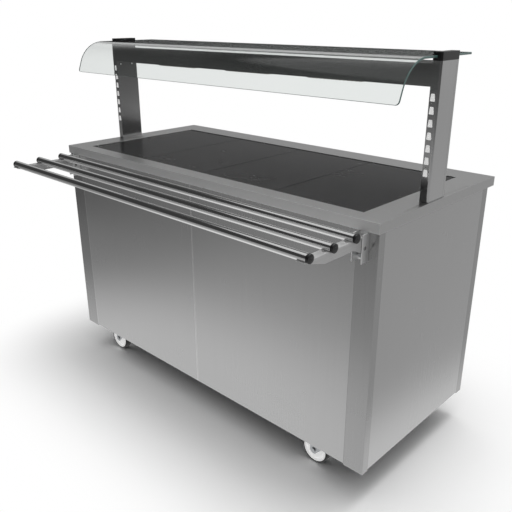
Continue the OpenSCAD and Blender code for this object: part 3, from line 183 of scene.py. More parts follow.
front_sheen = front_sheen - to_right.between(-1.7, -0.6, 0.18, 0.0) * to_front.between(1.5, 1.95, 1.0, 0.0)
side_sheen = (to_right - to_front * 0.1).between(0.835, 1.085, 1.1, 0.58)
near_sheen = front_sheen + to_right.between(0.7, 0.84) * (side_sheen - front_sheen)
wall_way = floor_place.vector("NORMALIZE").vector("DOT_PRODUCT", right_wall, "Value")
far_sheen = wall_way.between(wall_from, wall_to, low_dark, wall_sheen)
far_share = floor_place.vector("DISTANCE", far_from, "Value").between(4.5, 7.5)
floor_sheen = near_sheen + far_share * (far_sheen - near_sheen)
floor_level = floor_seen * white_level + floor_in_metal * floor_sheen
unseen_shade, metal_glow = 0.6, 0.85
floor_shade = floor_seen.mixed(grey(unseen_shade), grey(1.0))
lit_floor = paint.node("ShaderNodeBsdfDiffuse", {}, {"Color": floor_shade})
glowing_floor = paint.node("ShaderNodeEmission", {}, {"Strength": floor_level})
glow_share = floor_seen * beyond_foot.between(0.06, 0.58) + floor_in_metal * metal_glow
whole_floor = paint.node("ShaderNodeMixShader", {}, {0: glow_share, 1: lit_floor, 2: glowing_floor})
paint.node("ShaderNodeOutputMaterial", {}, {"Surface": whole_floor})
floor_mesh.materials.append(floor_paint)


# The worktop: 2 mm stainless steel, folded down and back under at its edges, with a stepped
# opening for the hot plates. It is polished with a belt along its length, and its front face is
# rougher, as scuffed by trays, and painted paler with a painted sheen.
def finish(name):
    """A new finish and the value from which its nodes are made."""
    made = bpy.data.materials.new(name)
    made.use_nodes = True
    made.node_tree.nodes.clear()
    return made, Value(made.node_tree)


def surface(start, **sockets):
    """Ends a finish with one surface shader, whose sockets are named with _ for a space."""
    named = {name.replace("_", " "): value for name, value in sockets.items()}
    shader = start.node("ShaderNodeBsdfPrincipled", {}, named)
    start.node("ShaderNodeOutputMaterial", {}, {"Surface": shader})


def cloud(start, size, stretch=(1, 1, 1), detail=2.0, shift=0.0):
    """Noise on the piece's own place, with spots of about size in metres, drawn out by stretch."""
    place = start.node("ShaderNodeTexCoord", out="Object")
    drawn = start.node("ShaderNodeMapping", {}, {
        "Vector": place, "Location": (shift, shift, shift),
        "Scale": tuple(1 / (size * times) for times in stretch)})
    return start.node("ShaderNodeTexNoise", {}, {"Vector": drawn, "Scale": 1.0, "Detail": detail})


def bumps(start, height, depth, strength):
    return start.node("ShaderNodeBump", {}, {"Height": height, "Distance": depth, "Strength": strength})


def brushed_steel(name, tone, rough, along, streak=0.035, shift=0.0, front=None, folds=()):
    """Belt-polished sheet: fine lines along one axis, broad clouds and a few wiped smears.

    The face at the place called front is rougher, as scuffed by trays, and painted paler, a
    painted sheen. The folded edges at the places called folds carry a painted highlight, a bright line.
    """
    def drawn_out(times):
        return tuple(times if axis == along else 1.0 for axis in "XYZ")

    painted_sheen_tone, scuffed_rough, painted_highlight_tone = 0.84, 0.34, 0.62
    made, start = finish(name)
    lines = cloud(start, 0.0014, drawn_out(150.0), 1.0, shift)
    belts = cloud(start, 0.012, drawn_out(60.0), 1.0, shift + 3)
    clouds = cloud(start, 0.35, shift=shift + 7)
    smears = cloud(start, 0.05, (2.5, 2.5, 0.8), 3.0, shift + 11).between(0.56, 0.78)
    shade = (lines * 0.5 + belts * 0.15 + clouds * 0.35).between(0.3, 0.7)
    colour = shade.mixed(grey(tone * (1 - streak)), grey(tone * (1 + streak)))
    roughness = lines * 0.1 + clouds * 0.08 + smears * 0.025 + (rough - 0.1)
    place = start.node("ShaderNodeTexCoord", out="Object")
    if front is not None:
        # Painted sheen: the front face is painted paler, and it is also made rougher as scuffed.
        scuff_and_painted_sheen = place.axis("Y").between(front + 0.0001, front + 0.0015, 1.0, 0.0)
        colour = scuff_and_painted_sheen.mixed(colour, grey(painted_sheen_tone))
        roughness = roughness + scuff_and_painted_sheen * scuffed_rough
    for fold in folds:
        # Painted highlight: a bright line painted along each folded edge at the joints.
        wear_and_painted_highlight = start.sum("ABSOLUTE", place.axis("X") - fold).between(0.0018, 0.0034, 1.0, 0.0)
        colour = wear_and_painted_highlight.mixed(colour, grey(painted_highlight_tone))
    surface(
        start, Base_Color=colour, Metallic=1.0, Roughness=roughness,
        Normal=bumps(start, lines * 0.8 + belts * 0.2, 0.00004, 0.14))
    return made


def dress(node, look, edge, steps=2):
    """Gives a frame piece its finish and rounds its edges by edge metres."""
    part = nodes[node]
    part.data.materials.clear()
    part.data.materials.append(look)
    weld = part.modifiers.new("joined", "WELD")
    weld.merge_threshold = 0.00001
    if edge:
        rounded = part.modifiers.new("rounded", "BEVEL")
        rounded.width, rounded.segments, rounded.limit_method = edge, steps, "ANGLE"
        rounded.angle_limit = math.radians(35)
        rounded.use_clamp_overlap = True
    even = part.modifiers.new("even", "WEIGHTED_NORMAL")
    even.keep_sharp = False


low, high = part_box("worktop")
steel_x = brushed_steel("steel_along_the_counter", 0.45, 0.34, "X", front=low.y)
dress("worktop", steel_x, 0.0012, 3)

# The four hot plates: dark ceramic glass with softly ground edges, set flush in black silicone.
# Their heater mats and the tray below them hang from the same opening.
plate_glass, start = finish("plate_glass")
haze = cloud(start, 0.16, (1, 1, 1), 3.0)
wipes = cloud(start, 0.03, (6, 1.4, 1), 3.0, 5)
dust = cloud(start, 0.0009, (1, 1, 1), 1.0, 9).between(0.7, 0.82)
film = (haze * 0.7 + dust * 0.5).between(0.25, 0.85)
surface(
    start, Base_Color=film.mixed((0.02, 0.02, 0.0205, 1), (0.026, 0.026, 0.0265, 1)),
    Roughness=haze * 0.08 + wipes * 0.04 + dust * 0.2 + 0.2, Specular_IOR_Level=0.04,
    Normal=bumps(start, haze, 0.0004, 0.05))
dress("hot_tiles", plate_glass, 0.0005)

silicone, start = finish("silicone")
ripple = cloud(start, 0.006)
surface(start, Base_Color=ripple.mixed(grey(0.012), grey(0.03)),
        Roughness=ripple * 0.2 + 0.35, Normal=bumps(start, ripple, 0.0003, 0.5))
dress("tile_seal", silicone, 0)

lining_steel = brushed_steel("lining_steel", 0.5, 0.42, "X", 0.16, 43)
heater_mat, start = finish("heater_mat")
weave = cloud(start, 0.0012, (8, 1, 1), 1.0) * 0.5 + cloud(start, 0.0012, (1, 8, 1), 1.0, 3) * 0.5
scorch = cloud(start, 0.08, (1, 1, 1), 3.0, 5)
surface(start, Base_Color=(weave * 0.5 + scorch * 0.5).mixed((0.1, 0.07, 0.05, 1), (0.3, 0.24, 0.18, 1)),
        Roughness=weave * 0.2 + 0.7, Normal=bumps(start, weave, 0.0003, 0.6))
dress("hot_top_tray", lining_steel, 0.0003)
dress("tile_heaters", heater_mat, 0.0003)

# The cabinet: 1.2 mm panels with folded returns, butted against folded corner posts, with fine
# open joints between them. The grain of all of them runs upwards, and the front panels' folded
# edges at the joints carry a painted highlight, a bright line.
cabinet_tone = 0.44
panel_steel = brushed_steel("panel_steel", cabinet_tone, 0.25, "Z", 0.025, 53)
for node in ("side_panel_left", "side_panel_right"):
    dress(node, panel_steel, 0.0007)
for node in ("front_panel_left", "front_panel_right"):
    low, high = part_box(node)
    # The left front panel has a painted highlight at both folded edges, the right one at its left edge.
    painted_highlight_edges = (low.x, high.x) if node == "front_panel_left" else (low.x,)
    front_steel = brushed_steel(f"{node}_steel", cabinet_tone, 0.25, "Z", 0.025, 53, folds=painted_highlight_edges)
    dress(node, front_steel, 0.0007)
corner_steel = brushed_steel("corner_steel", 0.35, 0.25, "Z", 0.025, 59)
for node in ("front_corner_posts", "rear_corner_posts"):
    dress(node, corner_steel, 0.0007)

# The base frame: channels of galvanised sheet, welded into a ring with two wide cross members.
# It shows only from below, between the castors.
galvanised, start = finish("galvanised")
spangle = start.node("ShaderNodeTexVoronoi", {"feature": "F1"}, {
    "Vector": start.node("ShaderNodeTexCoord", out="Object"), "Scale": 110.0}, out="Color")
flake = start.node("ShaderNodeSeparateColor", {}, {0: spangle}, out=0)
grime = cloud(start, 0.06, (1, 1, 1), 4.0)
surface(start, Base_Color=(flake * 0.6 + grime * 0.4).mixed((0.16, 0.17, 0.18, 1), (0.4, 0.41, 0.42, 1)),
        Metallic=1.0, Roughness=flake * 0.15 + grime * 0.2 + 0.3, Normal=bumps(start, flake, 0.0001, 0.2))
dress("base_frame", galvanised, 0.0006)

# The hot cupboard: a lining of plainer steel with mineral wool behind it, a shelf on angles, and
# a sheathed element under a slotted cover on the floor.
wool, start = finish("mineral_wool")
tufts = cloud(start, 0.004, (1, 1, 0.4), 5.0)
layers = cloud(start, 0.012, (4, 4, 0.5), 3.0, 5)
surface(start, Base_Color=(tufts * 0.6 + layers * 0.4).mixed((0.3, 0.25, 0.12, 1), (0.72, 0.66, 0.42, 1)),
        Roughness=tufts * 0.1 + 0.9, Normal=bumps(start, tufts, 0.002, 0.9))
dress("insulation", wool, 0)
for node in ("cupboard_floor", "cupboard_ceiling", "liner_front", "liner_sides", "mid_shelf",
             "heater_cover"):
    dress(node, lining_steel, 0.0004)
sheath, start = finish("element_sheath")
heat_tint = cloud(start, 0.05, (1, 1, 1), 3.0)
surface(start, Base_Color=heat_tint.mixed((0.13, 0.1, 0.08, 1), (0.3, 0.27, 0.26, 1)), Metallic=0.9,
        Roughness=heat_tint * 0.25 + 0.35, Normal=bumps(start, cloud(start, 0.0012), 0.0001, 0.3))
dress("floor_heater", sheath, 0.0004)

# The operator's side: two folded doors that slide past each other in ribbed tracks, each with
# a full-height finger grip, under a control panel and over a plinth.
door_steel = brushed_steel("steel_upright", cabinet_tone, 0.33, "Z", shift=31)
for node in ("door_left", "door_right"):
    dress(node, door_steel, 0.0007)
dress("door_tracks", lining_steel, 0.0003)
for node in ("rear_fascia", "rear_plinth"):
    dress(node, steel_x, 0.0006)


# The thermostat knobs: moulded black plastic with a skirt, fine flutes for grip and a white
# pointer. Each is pushed on the shaft of its thermostat.
mm = 0.001


def box_mm(node):
    """Two opposite corners of a frame piece's box and the box's middle, in millimetres."""
    low, high = (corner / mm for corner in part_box(node))
    return low, high, (low + high) / 2


def turned(drawing, outline, centre, axis, steps, ring=False, wave=None):
    """Turns an outline of (radius, place along the axis), in millimetres, about an axis."""
    cx, cy, cz = centre
    rings = []
    for radius, along in outline:
        angles = [2 * math.pi * i / steps for i in range(steps)] if radius else [0.0]
        points = []
        for angle in angles:
            r = radius + (wave(radius, along, angle) if wave else 0)
            u, v = r * math.cos(angle), r * math.sin(angle)
            x, y, z = {"X": (along, u, v), "Y": (v, along, u), "Z": (u, v, along)}[axis]
            points.append(drawing.verts.new((cx + x, cy + y, cz + z)))
        rings.append(points)
    following = rings[1:] + rings[:1] if ring else rings[1:]
    for low, high in zip(rings, following):
        for i in range(steps):
            j = (i + 1) % steps
            corners = [low[i % len(low)], low[j % len(low)], high[j % len(high)], high[i % len(high)]]
            corners = [c for k, c in enumerate(corners) if c not in corners[:k]]
            if len(corners) > 2:
                drawing.faces.new(corners)


def slab(drawing, low, high):
    """A block between two opposite corners, in millimetres."""
    size = Vector(high) - Vector(low)
    middle = (Vector(high) + Vector(low)) / 2
    place = Matrix.Translation(middle) @ Matrix.Diagonal((*size, 1))
    bmesh.ops.create_cube(drawing, size=1.0, matrix=place)


def piece(name, drawing, looks, body, stands_for=(), smooth_to=38):
    """A finished piece from a drawing in millimetres or a mesh in metres, riding on its body."""
    if isinstance(drawing, bmesh.types.BMesh):
        bmesh.ops.transform(drawing, matrix=Matrix.Scale(mm, 4), verts=drawing.verts)
        bmesh.ops.recalc_face_normals(drawing, faces=drawing.faces)
        mesh = bpy.data.meshes.new(name)
        drawing.to_mesh(mesh)
        drawing.free()
    else:
        mesh = drawing
        mesh.name = name
    mesh.shade_smooth()
    mesh.set_sharp_from_angle(angle=math.radians(smooth_to))
    made = bpy.data.objects.new(name, mesh)
    bpy.context.scene.collection.objects.link(made)
    shares = [face.material_index for face in mesh.polygons]
    mesh.materials.clear()
    for look in looks if isinstance(looks, list) else [looks]:
        mesh.materials.append(look)
    last = len(mesh.materials) - 1
    mesh.polygons.foreach_set("material_index", [min(share, last) for share in shares])
    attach(made, body)
    if stands_for:
        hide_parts(*stands_for)


black_plastic, start = finish("black_plastic")
pores = cloud(start, 0.0007)
wear_and_painted_highlight = cloud(start, 0.02, (1, 1, 1), 3.0, 5)
surface(start, Base_Color=wear_and_painted_highlight.mixed((0.004, 0.004, 0.0045, 1), (0.01, 0.01, 0.0105, 1)),
        Roughness=pores * 0.12 + wear_and_painted_highlight * 0.15 + 0.18, Normal=bumps(start, pores, 0.00008, 0.4))
white_print, start = finish("white_print")
thin_ink = cloud(start, 0.0006)
surface(start, Base_Color=thin_ink.mixed((0.72, 0.72, 0.7, 1), (0.85, 0.85, 0.83, 1)),
        Roughness=thin_ink * 0.2 + 0.4, Normal=bumps(start, thin_ink, 0.00003, 0.3))

skirt_r, skirt_t, grip_r, shaft_r, shaft_deep, head_y = 23.0, 3.0, 21.0, 3.05, 12.0, 19.2
flutes, flute_deep, flute_from, flute_to = 36, 0.9, 3.2, 19.5
pointer_half, pointer_foot, pointer_head, pointer_reach = 1.5, 17.0, 21.3, 19.3
line_half, line_sunk, line_proud, line_from, line_to = 0.6, 0.1, 0.15, 3.0, 18.8
knob_outline = [
    (0, shaft_deep), (shaft_r, shaft_deep), (shaft_r, 0), (skirt_r - 0.7, 0), (skirt_r, 0.7),
    (skirt_r, skirt_t - 0.8), (skirt_r - 0.7, skirt_t), (grip_r, skirt_t + 0.3), (grip_r, skirt_t + 0.9),
    (grip_r - 0.1, 10), (grip_r - 0.4, 17), (grip_r - 0.9, 18.6), (grip_r - 1.8, 19.6), (grip_r - 2.8, 20),
    (grip_r - 4.5, 19.7), (grip_r - 5.5, head_y), (0, head_y)]


def knob_flutes(radius, along, angle):
    if radius < grip_r - 6 or not flute_from < along < flute_to:
        return 0
    return flute_deep / 2 * (math.cos(flutes * angle) - 1)


def knob_place(which):
    """The middle of a knob's foot, in millimetres."""
    low, high, middle = box_mm("knob_" + which)
    return high.x - skirt_r, low.y, middle.z


for which in ("cupboard", "hot_top"):
    x, foot, z = knob_place(which)
    knob, line = bmesh.new(), bmesh.new()
    turned(knob, knob_outline, (x, foot, z), "Y", 144, wave=knob_flutes)
    slab(knob, (x - pointer_half, foot + pointer_foot, z),
         (x + pointer_half, foot + pointer_head, z + pointer_reach))
    slab(line, (x - line_half, foot + pointer_head - line_sunk, z + line_from),
         (x + line_half, foot + pointer_head + line_proud, z + line_to))
    body = which + "_knob"
    piece(body + "_moulding", knob, black_plastic, body, ["knob_" + which])
    piece(body + "_pointer_line", line, white_print, body)


# The dials: a printed ring of marks round each knob and the numbers from 0 to 5 outside it.
# They are printed on the control panel and stand a tenth of a millimetre proud.
def grower(name, sizes):
    """A new geometry tree with named sizes: returns it, a start value and its inputs by name."""
    tree = bpy.data.node_groups.new(name, "GeometryNodeTree")
    tree.interface.new_socket("Geometry", in_out="INPUT", socket_type="NodeSocketGeometry")
    for label, kind in sizes.items():
        tree.interface.new_socket(label, in_out="INPUT", socket_type="NodeSocket" + kind)
    tree.interface.new_socket("Geometry", in_out="OUTPUT", socket_type="NodeSocketGeometry")
    start = Value(tree)
    entry = tree.nodes.new("NodeGroupInput")
    return tree, start, {socket.name: Value(tree, socket) for socket in entry.outputs if socket.name}


def ended(start, grown, look):
    """Ends a tree: what has grown is made one mesh with its finish."""
    real = start.node("GeometryNodeRealizeInstances", {}, {0: grown})
    painted = start.node("GeometryNodeSetMaterial", {}, {"Geometry": real, "Material": look})
    start.node("NodeGroupOutput", {}, {0: painted})


def plain_mesh(carrier):
    """The finished mesh of an object that only carried it, which goes."""
    made = bpy.data.meshes.new_from_object(carrier.evaluated_get(bpy.context.evaluated_depsgraph_get()))
    bpy.data.objects.remove(carrier)
    return made


def grown_mesh(name, tree, values, drawing=None):
    """The plain mesh that a tree grows, from a drawing in metres if there is one."""
    mesh = bpy.data.meshes.new(name)
    if drawing:
        drawing.to_mesh(mesh)
        drawing.free()
    carrier = bpy.data.objects.new(name + "_carrier", mesh)
    bpy.context.scene.collection.objects.link(carrier)
    growth = carrier.modifiers.new("growth", "NODES")
    growth.node_group = tree
    for item in tree.interface.items_tree:
        if item.in_out == "INPUT" and item.name in values:
            growth[item.identifier] = values[item.name]
    return plain_mesh(carrier)


dial_from, dial_sweep, dial_r, number_r, number_h, print_proud = 90, 270, 26.5, 32.5, 6.0, 0.1
mark_count, number_count, mark_length, mark_width = 11, 6, 3.0, 0.5
mark_tree, start, sizes = grower("dial_marks", {
    "Marks": "Int", "Radius": "Float", "Length": "Float", "Width": "Float", "Proud": "Float"})
sweep = start.node("GeometryNodeCurveArc", {"mode": "RADIUS"}, {
    "Resolution": 64, "Radius": sizes["Radius"],
    "Start Angle": math.radians(dial_from), "Sweep Angle": math.radians(-dial_sweep)})
spots = start.node("GeometryNodeCurveToPoints", {"mode": "COUNT"}, {0: sweep, "Count": sizes["Marks"]})
turns = Value(mark_tree, spots.socket.node.outputs["Rotation"])
mark_size = start.node("ShaderNodeCombineXYZ", {}, {
    0: sizes["Proud"], 1: sizes["Length"], 2: sizes["Width"]})
mark = start.node("GeometryNodeMeshCube", {}, {"Size": mark_size})
marks = start.node("GeometryNodeInstanceOnPoints", {}, {
    "Points": spots, "Instance": mark, "Rotation": turns})
ended(start, marks, white_print)

panel_low, panel_high, panel_middle = box_mm("rear_fascia")
panel_y = panel_high.y
facing_operator = Matrix(((-1, 0, 0, 0), (0, 0, 1, 0), (0, 1, 0, 0), (0, 0, 0, 1)))
for which in ("cupboard", "hot_top"):
    x, foot, z = knob_place(which)
    spot = Matrix.Translation(Vector((x, panel_y, z)) * mm)
    ring = grown_mesh(which + "_dial", mark_tree, {
        "Marks": mark_count, "Radius": dial_r * mm, "Length": mark_length * mm, "Width": mark_width * mm,
        "Proud": 2 * print_proud * mm})
    ring.transform(spot @ facing_operator)
    printed = bmesh.new()
    printed.from_mesh(ring)
    for number in range(number_count):
        letter = bpy.data.curves.new("number", "FONT")
        letter.body, letter.size, letter.extrude = str(number), number_h * mm, print_proud * mm
        letter.align_x, letter.align_y, letter.resolution_u = "CENTER", "CENTER", 3
        carrier = bpy.data.objects.new("number", letter)
        bpy.context.scene.collection.objects.link(carrier)
        outline = plain_mesh(carrier)
        angle = math.radians(dial_from - dial_sweep / (number_count - 1) * number)
        way = Vector((math.cos(angle), math.sin(angle), 0)) * number_r * mm
        outline.transform(spot @ facing_operator @ Matrix.Translation(way))
        printed.from_mesh(outline)
    bmesh.ops.transform(printed, matrix=Matrix.Scale(1 / mm, 4), verts=printed.verts)
    piece(which + "_dial_print", printed, white_print, "counter")

# The thermostat bodies, the rocker switches and the lamps: black mouldings snapped into the
# panel, amber lenses, and the marks for on and off on the rocker keys.
for node in ("control_gear", "rocker_mains", "rocker_gantry"):
    dress(node, black_plastic, 0.0004)
amber, start = finish("amber_lens")
prisms = cloud(start, 0.0016, (1, 1, 1), 1.0)
surface(start, Base_Color=prisms.mixed((0.55, 0.16, 0.015, 1), (0.8, 0.3, 0.03, 1)),
        Roughness=prisms * 0.15 + 0.12, Coat_Weight=0.5, Normal=bumps(start, prisms, 0.0003, 0.5))
dress("indicator_lamps", amber, 0.0006, 3)
key_tilt, key_slope = math.radians(-3.5), math.atan2(2.5, 11.5)
key_sunk, key_face_y, sign_z = 1.0, 4.1, 6.4
sign_foot, sign_face, stroke_half, sign_r, hole_r = -0.1, 0.12, 0.5, 2.4, 1.6


def laid_on_key(signs, corners, side):
    """Lays a sign on the upper half of a key, side 1, or on the lower half, side -1."""
    tip = Matrix.Translation((0, key_face_y, side * sign_z)) @ Matrix.Rotation(side * key_slope, 4, "X")
    bmesh.ops.transform(signs, matrix=tip, verts=corners)


for which in ("mains", "gantry"):
    low, high, middle = box_mm("rocker_" + which)
    signs = bmesh.new()
    slab(signs, (-stroke_half, sign_foot, -sign_r), (stroke_half, sign_face, sign_r))
    laid_on_key(signs, list(signs.verts), 1)
    stroke_corners = len(signs.verts)
    turned(signs, [(hole_r, sign_foot), (sign_r, sign_foot), (sign_r, sign_face), (hole_r, sign_face)],
           (0, 0, 0), "Y", 32, ring=True)
    laid_on_key(signs, list(signs.verts)[stroke_corners:], -1)
    hinge = (middle.x, panel_y - key_sunk, panel_middle.z)
    place = Matrix.Translation(hinge) @ Matrix.Rotation(key_tilt, 4, "X")
    bmesh.ops.transform(signs, matrix=place, verts=signs.verts)
    piece(which + "_rocker_marks", signs, white_print, which + "_rocker")

# The gantry posts: folded from 2 mm steel, with a row of tapered slots that white inner tubes fill
# with their lugs, and a cover strip down the outer side. Black caps plug their tops and hold the
# glass. The white tubes carry a painted glow.
post_steel = brushed_steel("post_steel", 0.46, 0.18, "Z", 0.03, 61)
for node in ("gantry_post_left", "gantry_post_right", "post_covers"):
    dress(node, post_steel, 0.0004)
white_tube_painted_glow, start = finish("white_tube_painted_glow")
mottle = cloud(start, 0.01, (1, 1, 1), 3.0)
# The white plastic glows a little: a painted glow that keeps the shaded slots bright white.
surface(start, Base_Color=mottle.mixed((0.86, 0.86, 0.85, 1), (0.95, 0.95, 0.94, 1)),
        Roughness=mottle * 0.15 + 0.3, Emission_Color=grey(1.0), Emission_Strength=0.35,
        Normal=bumps(start, mottle, 0.0002, 0.2))
low, high, middle = box_mm("post_liners")
tube_wall, tube_width = 1.2, 17.7
slot_count, slot_x, slot_z, slot_pitch = 7, 717.0, 982.5, 33.8
slot_foot, slot_head, slot_h, lug_play, lug_front, lug_back = 14.5, 11.0, 20.0, 0.15, 2.0, 0.6
foot, head, up = slot_foot / 2 - lug_play, slot_head / 2 - lug_play, slot_h / 2 - lug_play
front_in, back_in = low.y + tube_wall, high.y - tube_wall
tubes = bmesh.new()
for side in (-1, 1):
    tube_in, tube_out = side * (high.x - tube_width), side * high.x
    walls = [(tube_in, low.y, tube_out, front_in), (tube_in, back_in, tube_out, high.y),
             (tube_in, front_in, tube_in + side * tube_wall, back_in),
             (tube_out - side * tube_wall, front_in, tube_out, back_in)]
    for x0, y0, x1, y1 in walls:
        slab(tubes, (min(x0, x1), y0, low.z), (max(x0, x1), y1, high.z))
    for i in range(slot_count):
        x, z = side * slot_x, slot_z + i * slot_pitch
        lug = [(x - foot, z - up), (x + foot, z - up), (x + head, z + up), (x - head, z + up)]
        front = [tubes.verts.new((x, low.y - lug_front, z)) for x, z in lug]
        back = [tubes.verts.new((x, low.y + lug_back, z)) for x, z in lug]
        tubes.faces.new(front)
        tubes.faces.new(back[::-1])
        for k in range(4):
            tubes.faces.new((front[k], back[k], back[(k + 1) % 4], front[(k + 1) % 4]))
piece("post_tubes", tubes, white_tube_painted_glow, "counter", ["post_liners"])
dress("post_caps", black_plastic, 0.0012, 3)

# The canopy: a closed channel of dark-finished steel screwed between the posts, with a bright
# folded trough inside that throws the lamps' heat down.
canopy_steel = brushed_steel("canopy_steel", 0.43, 0.2, "X", 0.03, 67)
dress("canopy_shell", canopy_steel, 0.0009, 3)
bright_aluminium, start = finish("bright_aluminium")
rolled = cloud(start, 0.001, (120, 1, 1), 1.0)
heat_tint = cloud(start, 0.09, (1, 1, 1), 3.0, 5)
surface(start, Base_Color=heat_tint.mixed((0.82, 0.77, 0.68, 1), (0.86, 0.86, 0.85, 1)), Metallic=1.0,
        Roughness=rolled * 0.1 + heat_tint * 0.1 + 0.1, Normal=bumps(start, rolled, 0.00005, 0.3))
dress("canopy_reflector", bright_aluminium, 0.0003)

# The heat lamps: three quartz tubes, each with a coiled filament down its middle and a flat
# pinched seal at both ends, held by glazed ceramic blocks.
glazed, start = finish("glazed_ceramic")
specks = cloud(start, 0.001).between(0.6, 0.75)
surface(start, Base_Color=specks.mixed((0.8, 0.79, 0.75, 1), (0.62, 0.58, 0.5, 1)),
        Roughness=specks * 0.2 + 0.3, Normal=bumps(start, cloud(start, 0.004), 0.0002, 0.3))
dress("lamp_holders", glazed, 0.0008, 3)
quartz, start = finish("quartz")
devitrified = cloud(start, 0.01, (4, 1, 1), 3.0)
surface(start, Base_Color=devitrified.mixed((0.9, 0.89, 0.86, 1), (0.97, 0.97, 0.96, 1)), IOR=1.46,
        Transmission_Weight=0.85, Roughness=devitrified * 0.25 + 0.12,
        Normal=bumps(start, devitrified, 0.0002, 0.2))
low, high, middle = box_mm("heat_lamps")
lamp_half, lamp_r, lamp_bore = 95.0, 5.5, 4.3
seal_x, seal_half, seal_flat, seal_wide = 88.0, 6.0, 1.2, 4.2
lamp_pitch, lamp_y, lamp_z = high.x - lamp_half, middle.y, middle.z
lamp_xs = (-lamp_pitch, 0.0, lamp_pitch)
lamp_outline = [(lamp_bore, lamp_half), (lamp_r - 0.3, lamp_half), (lamp_r, lamp_half - 0.4)]
lamp_outline = [(r, -along) for r, along in lamp_outline] + lamp_outline[::-1]
tubes = bmesh.new()
for x in lamp_xs:
    turned(tubes, lamp_outline, (x, lamp_y, lamp_z), "X", 40, ring=True)
    for end in (-1, 1):
        seal = x + end * seal_x
        slab(tubes, (seal - seal_half, lamp_y - seal_wide, lamp_z - seal_flat),
             (seal + seal_half, lamp_y + seal_wide, lamp_z + seal_flat))
piece("lamp_tubes", tubes, quartz, "counter", ["heat_lamps"])

tungsten, start = finish("tungsten")
oxide = cloud(start, 0.004)
surface(start, Base_Color=oxide.mixed((0.2, 0.19, 0.18, 1), (0.42, 0.4, 0.38, 1)), Metallic=1.0,
        Roughness=oxide * 0.3 + 0.3, Normal=bumps(start, oxide, 0.00005, 0.3))
coil_tree, start, sizes = grower("filament", {
    "Turns": "Float", "Coil radius": "Float", "Coil length": "Float", "Wire radius": "Float",
    "Lamps": "Int", "Pitch": "Float"})
coil = start.node("GeometryNodeCurveSpiral", {}, {
    "Resolution": 10, "Rotations": sizes["Turns"], "Start Radius": sizes["Coil radius"],
    "End Radius": sizes["Coil radius"], "Height": sizes["Coil length"]})
round_wire = start.node("GeometryNodeCurvePrimitiveCircle", {"mode": "RADIUS"}, {
    "Resolution": 5, "Radius": sizes["Wire radius"]})
wire = start.node("GeometryNodeCurveToMesh", {}, {"Curve": coil, "Profile Curve": round_wire})
back_half = start.node("ShaderNodeCombineXYZ", {}, {2: sizes["Coil length"] * -0.5})
centred = start.node("GeometryNodeTransform", {}, {"Geometry": wire, "Translation": back_half})
row = start.node("GeometryNodeMeshLine", {"mode": "OFFSET"}, {
    "Count": sizes["Lamps"], "Offset": start.node("ShaderNodeCombineXYZ", {}, {0: sizes["Pitch"]})})
laid = start.node("GeometryNodeInstanceOnPoints", {}, {
    "Points": row, "Instance": centred, "Rotation": (0, math.radians(90), 0)})
ended(start, laid, tungsten)
coils = grown_mesh("filaments", coil_tree, {
    "Turns": 52.0, "Coil radius": 1.5 * mm, "Coil length": 152 * mm, "Wire radius": 0.32 * mm,
    "Lamps": len(lamp_xs), "Pitch": lamp_pitch * mm})
coils.transform(Matrix.Translation(Vector((lamp_xs[0], lamp_y, lamp_z)) * mm))
piece("lamp_filaments", coils, tungsten, "counter")

# The lamp guards: a flat frame that lies on the canopy's lips and bent wires across it, welded
# to three long ones, so that no hand touches a hot lamp.
low, high, middle = box_mm("lamp_guards")
strip_t, strip_w, end_w, strip_in = 1.0, 9.0, 5.0, 33.0
guard_z, guard_half = high.z - strip_t, high.x - lamp_pitch
wire_count, wire_r, bend_r = 14, 1.0, 4.0
long_wire_r, long_wire_y, long_wire_z, long_wire_short = 0.9, 12.5, -5.2, 1.0
wire_path = [(-37, 0.4), (-34, 0.2), (-13, -7), (13, -7), (34, 0.2), (37, 0.4)]
guard_tree, start, sizes = grower("guard_wires", {
    "Wires": "Int", "Wire pitch": "Float", "Lamps": "Int", "Lamp pitch": "Float",
    "Wire radius": "Float", "Bend radius": "Float"})
bent = start.node("GeometryNodeMeshToCurve", {}, {0: sizes["Geometry"]})
bent = start.node("GeometryNodeFilletCurve", {"mode": "POLY"}, {
    "Curve": bent, "Count": 4, "Radius": sizes["Bend radius"]})
round_wire = start.node("GeometryNodeCurvePrimitiveCircle", {"mode": "RADIUS"}, {
    "Resolution": 8, "Radius": sizes["Wire radius"]})
wire = start.node("GeometryNodeCurveToMesh", {}, {
    "Curve": bent, "Profile Curve": round_wire, "Fill Caps": True})
along_guard = start.node("GeometryNodeMeshLine", {"mode": "OFFSET"}, {
    "Count": sizes["Wires"], "Offset": start.node("ShaderNodeCombineXYZ", {}, {0: sizes["Wire pitch"]})})
one_guard = start.node("GeometryNodeInstanceOnPoints", {}, {"Points": along_guard, "Instance": wire})
along_canopy = start.node("GeometryNodeMeshLine", {"mode": "OFFSET"}, {
    "Count": sizes["Lamps"], "Offset": start.node("ShaderNodeCombineXYZ", {}, {0: sizes["Lamp pitch"]})})
all_guards = start.node("GeometryNodeInstanceOnPoints", {}, {
    "Points": along_canopy, "Instance": one_guard})
ended(start, all_guards, bright_aluminium)
path = bmesh.new()
first_x = lamp_xs[0] - guard_half + end_w / 2
corners = [path.verts.new(Vector((first_x, lamp_y + y, guard_z + z)) * mm) for y, z in wire_path]
for first, second in zip(corners, corners[1:]):
    path.edges.new((first, second))
wires = grown_mesh("guard_wires", guard_tree, {
    "Wires": wire_count, "Wire pitch": (2 * guard_half - end_w) / (wire_count - 1) * mm,
    "Lamps": len(lamp_xs), "Lamp pitch": lamp_pitch * mm,
    "Wire radius": wire_r * mm, "Bend radius": bend_r * mm}, path)
guards = bmesh.new()
guards.from_mesh(wires)
bmesh.ops.transform(guards, matrix=Matrix.Scale(1 / mm, 4), verts=guards.verts)
long_half = guard_half - long_wire_short
long_wire = [(0, -long_half), (long_wire_r, -long_half), (long_wire_r, long_half), (0, long_half)]
